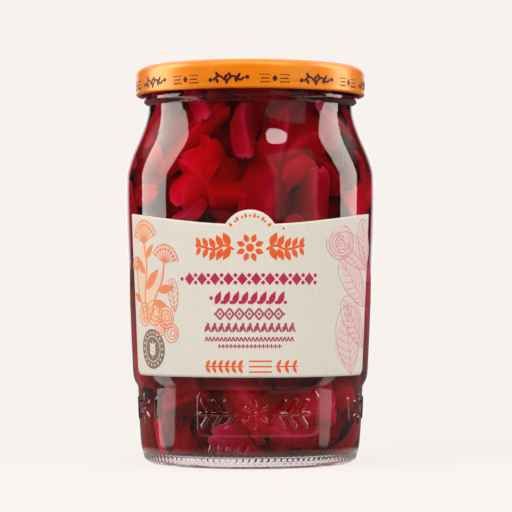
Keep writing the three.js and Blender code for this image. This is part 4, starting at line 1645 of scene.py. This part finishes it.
def straight_view(nodes, path):
    """1 where a ray comes straight from the camera or through clear pieces, and 0 once it has bounced."""
    straight = nodes.math("MAXIMUM", path["Is Camera Ray"], path["Is Transmission Ray"])
    turned = nodes.math("MINIMUM", path["Diffuse Depth"], 1.0)
    return nodes.math("MULTIPLY", straight, nodes.math("SUBTRACT", 1.0, turned))


def build_world():
    """Pale surroundings for the picture, and a darker studio for what the gloss reflects."""
    world = bpy.data.worlds.new("pale_studio")
    world.use_nodes = True
    world.node_tree.nodes.clear()
    nodes = Nodes(world.node_tree)
    path = nodes.add("ShaderNodeLightPath").outputs
    bounced = nodes.math("MINIMUM", path["Diffuse Depth"], 1.0)
    seen = straight_view(nodes, path)
    direction = nodes.add("ShaderNodeTexCoord").outputs["Generated"]
    apart = nodes.add("ShaderNodeSeparateXYZ", {0: direction}).outputs
    low_back = nodes.value_ramp(apart["Y"], 0.86, 0.93, 0.0, LOW_BACK)
    upper = nodes.value_ramp(apart["Z"], 0.3, 0.55, 0.0, HIGH_BACK)
    high_back = nodes.math("MULTIPLY", nodes.value_ramp(apart["Y"], 0.15, 0.5), upper)
    behind = nodes.math("ADD", nodes.math("MAXIMUM", low_back, high_back), DARK_STUDIO)
    studio = nodes.add("ShaderNodeCombineColor", {0: behind, 1: behind, 2: behind}).outputs[0]
    around = nodes.mix(bounced, studio, (*BOUNCED_WORLD, 1))
    full = nodes.mix(seen, around, (*PALE, 1))
    background = nodes.add("ShaderNodeBackground", {"Color": full, "Strength": 1.0})
    nodes.add("ShaderNodeOutputWorld", {"Surface": background.outputs[0]})
    bpy.context.scene.world = world


def floor_bands(nodes, place):
    """Brightness of the two bands of light that fan out over the floor, for the gloss of the belt."""
    apart = nodes.add("ShaderNodeSeparateXYZ", {0: place}).outputs
    total = 0.0
    for side, (start_x, start_y), (low, high), radiance in FLOOR_BANDS:
        away = nodes.math("SUBTRACT", nodes.math("MULTIPLY", apart["X"], side), start_x)
        aside = nodes.math("SUBTRACT", apart["Y"], start_y)
        slope = nodes.math("DIVIDE", aside, nodes.math("MAXIMUM", away, MM))
        over_low = nodes.value_ramp(slope, low - 0.02, low + 0.02)
        under_high = nodes.value_ramp(slope, high - 0.02, high + 0.02, 1.0, 0.0)
        begun = nodes.value_ramp(away, 0.025, 0.04)
        not_ended = nodes.value_ramp(away, 0.6, 0.9, 1.0, 0.0)
        band = nodes.math("MULTIPLY", over_low, under_high)
        for part in (begun, not_ended, radiance):
            band = nodes.math("MULTIPLY", band, part)
        total = nodes.math("ADD", band, total)
    return total


def floor_material():
    """Pale matt floor in the colour of the surroundings, with a brightness of its own in the gloss."""
    material, nodes, output = new_material("pale_floor")
    path = nodes.add("ShaderNodeLightPath").outputs
    place = nodes.add("ShaderNodeTexCoord").outputs["Object"]
    far = nodes.add("ShaderNodeVectorMath", {0: place}, operation="LENGTH").outputs["Value"]
    foot = nodes.value_ramp(far, 0.046, 0.064, FOOT_GLOSS, FLOOR_GLOSS)
    gloss = nodes.math("ADD", floor_bands(nodes, place), foot)
    bounced = nodes.math("MINIMUM", path["Diffuse Depth"], 1.0)
    unseen = nodes.value_ramp(bounced, 0.0, 1.0, gloss, FLOOR_BOUNCED)
    direct = nodes.value_ramp(far, 0.4, 2.2, FLOOR_NEAR, FLOOR_FAR)
    strength = nodes.value_ramp(straight_view(nodes, path), 0.0, 1.0, unseen, direct)
    tint = nodes.ramp(object_noise(nodes, 30, 2.0), [(0.3, toned(PALE, 0.998)), (0.7, PALE)])
    glow = nodes.add("ShaderNodeEmission", {"Color": tint, "Strength": strength})
    matt = nodes.add("ShaderNodeBsdfDiffuse", {"Color": (0.13, 0.125, 0.12, 1)})
    both = nodes.add("ShaderNodeAddShader", {0: glow.outputs[0], 1: matt.outputs[0]})
    nodes.tree.links.new(both.outputs[0], output.inputs["Surface"])
    return material


def photo_camera(lens):
    """A camera at the photograph's viewpoint."""
    data = bpy.data.cameras.new("photo_camera")
    data.sensor_width = 36
    data.lens = lens
    data.clip_end = 50
    camera = bpy.data.objects.new("photo_camera", data)
    camera.location = (CAMERA_SIDE, -CAMERA_DISTANCE, CAMERA_HEIGHT)
    look = Vector((CAMERA_SIDE, 0, AIM_HEIGHT)) - camera.location
    camera.rotation_euler = look.to_track_quat("-Z", "Y").to_euler()
    bpy.context.scene.collection.objects.link(camera)
    return camera


class JAR_OT_stage(bpy.types.Operator):
    """Make the floor, the lights and the camera"""

    bl_idname = "cabbage_jar.stage"
    bl_label = "Stage"

    def execute(self, context):
        settings = context.scene.cabbage_jar.stage
        build_world()
        low, high = -FLOOR_HALF, FLOOR_HALF
        corners = [(low, low, -0.05), (high, low, -0.05), (high, high, -0.05), (low, high, -0.05)]
        object_from("pale_floor", corners, [(0, 1, 2, 3)], floor_material())
        key_radiance = settings.key_power / (math.pi * BIG_LIGHT[0] * BIG_LIGHT[1])
        light("key_light", (-52, 32, 1.7), BIG_LIGHT, key_radiance, gloss_only=False)
        light("fill_light", (56, 22, 1.7), BIG_LIGHT, 3.4, gloss_only=False)
        light("left_strip", (-98, 22, 0.62), (0.4, 0.8), settings.strip_radiance, STRIP_TINT)
        light("right_strip", (100, 22, 0.62), (0.28, 0.8), settings.strip_radiance, STRIP_TINT)
        light("front_card", (42, 20, 0.9), (0.7, 0.7), 0.45)
        light("top_card", (0, 76, 0.9), (0.9, 0.45), 3.0, TOP_TINT)
        light("round_light", (36, 51.3, 1.0), (0.36, 0.15), 9.0, shape="ELLIPSE")
        context.scene.camera = photo_camera(settings.lens)
        context.scene.view_settings.view_transform = "Standard"
        return {"FINISHED"}


class JAR_PT_panel(bpy.types.Panel):
    """The jar's pieces and settings"""

    bl_label = "Cabbage Jar"
    bl_idname = "JAR_PT_panel"
    bl_space_type = "VIEW_3D"
    bl_region_type = "UI"
    bl_category = "Cabbage Jar"

    def draw(self, context):
        settings = context.scene.cabbage_jar
        for operator in OPERATORS:
            self.layout.operator(operator.bl_idname)
        for group in (settings.glass, settings.filling, settings.lid, settings.label, settings.stage):
            box = self.layout.box()
            for name in group.__annotations__:
                box.prop(group, name)


SETTINGS = (GlassSettings, FillingSettings, LidSettings, LabelSettings, StageSettings, JarSettings)
OPERATORS = (
    JAR_OT_stage, JAR_OT_glass, JAR_OT_brine, JAR_OT_cabbage, JAR_OT_lid, JAR_OT_lid_print, JAR_OT_label,
    JAR_OT_label_print,
)


def register():
    """Registers the settings, the operators and the panel."""
    for item in (*SETTINGS, *OPERATORS, JAR_PT_panel):
        bpy.utils.register_class(item)
    bpy.types.Scene.cabbage_jar = PointerProperty(type=JarSettings)


def unregister():
    """Takes them out again."""
    del bpy.types.Scene.cabbage_jar
    for item in reversed((*SETTINGS, *OPERATORS, JAR_PT_panel)):
        bpy.utils.unregister_class(item)


def main():
    """Makes every piece in order."""
    register()
    for operator in OPERATORS:
        group, name = operator.bl_idname.split(".")
        getattr(getattr(bpy.ops, group), name)()


if __name__ == "__main__":
    main()
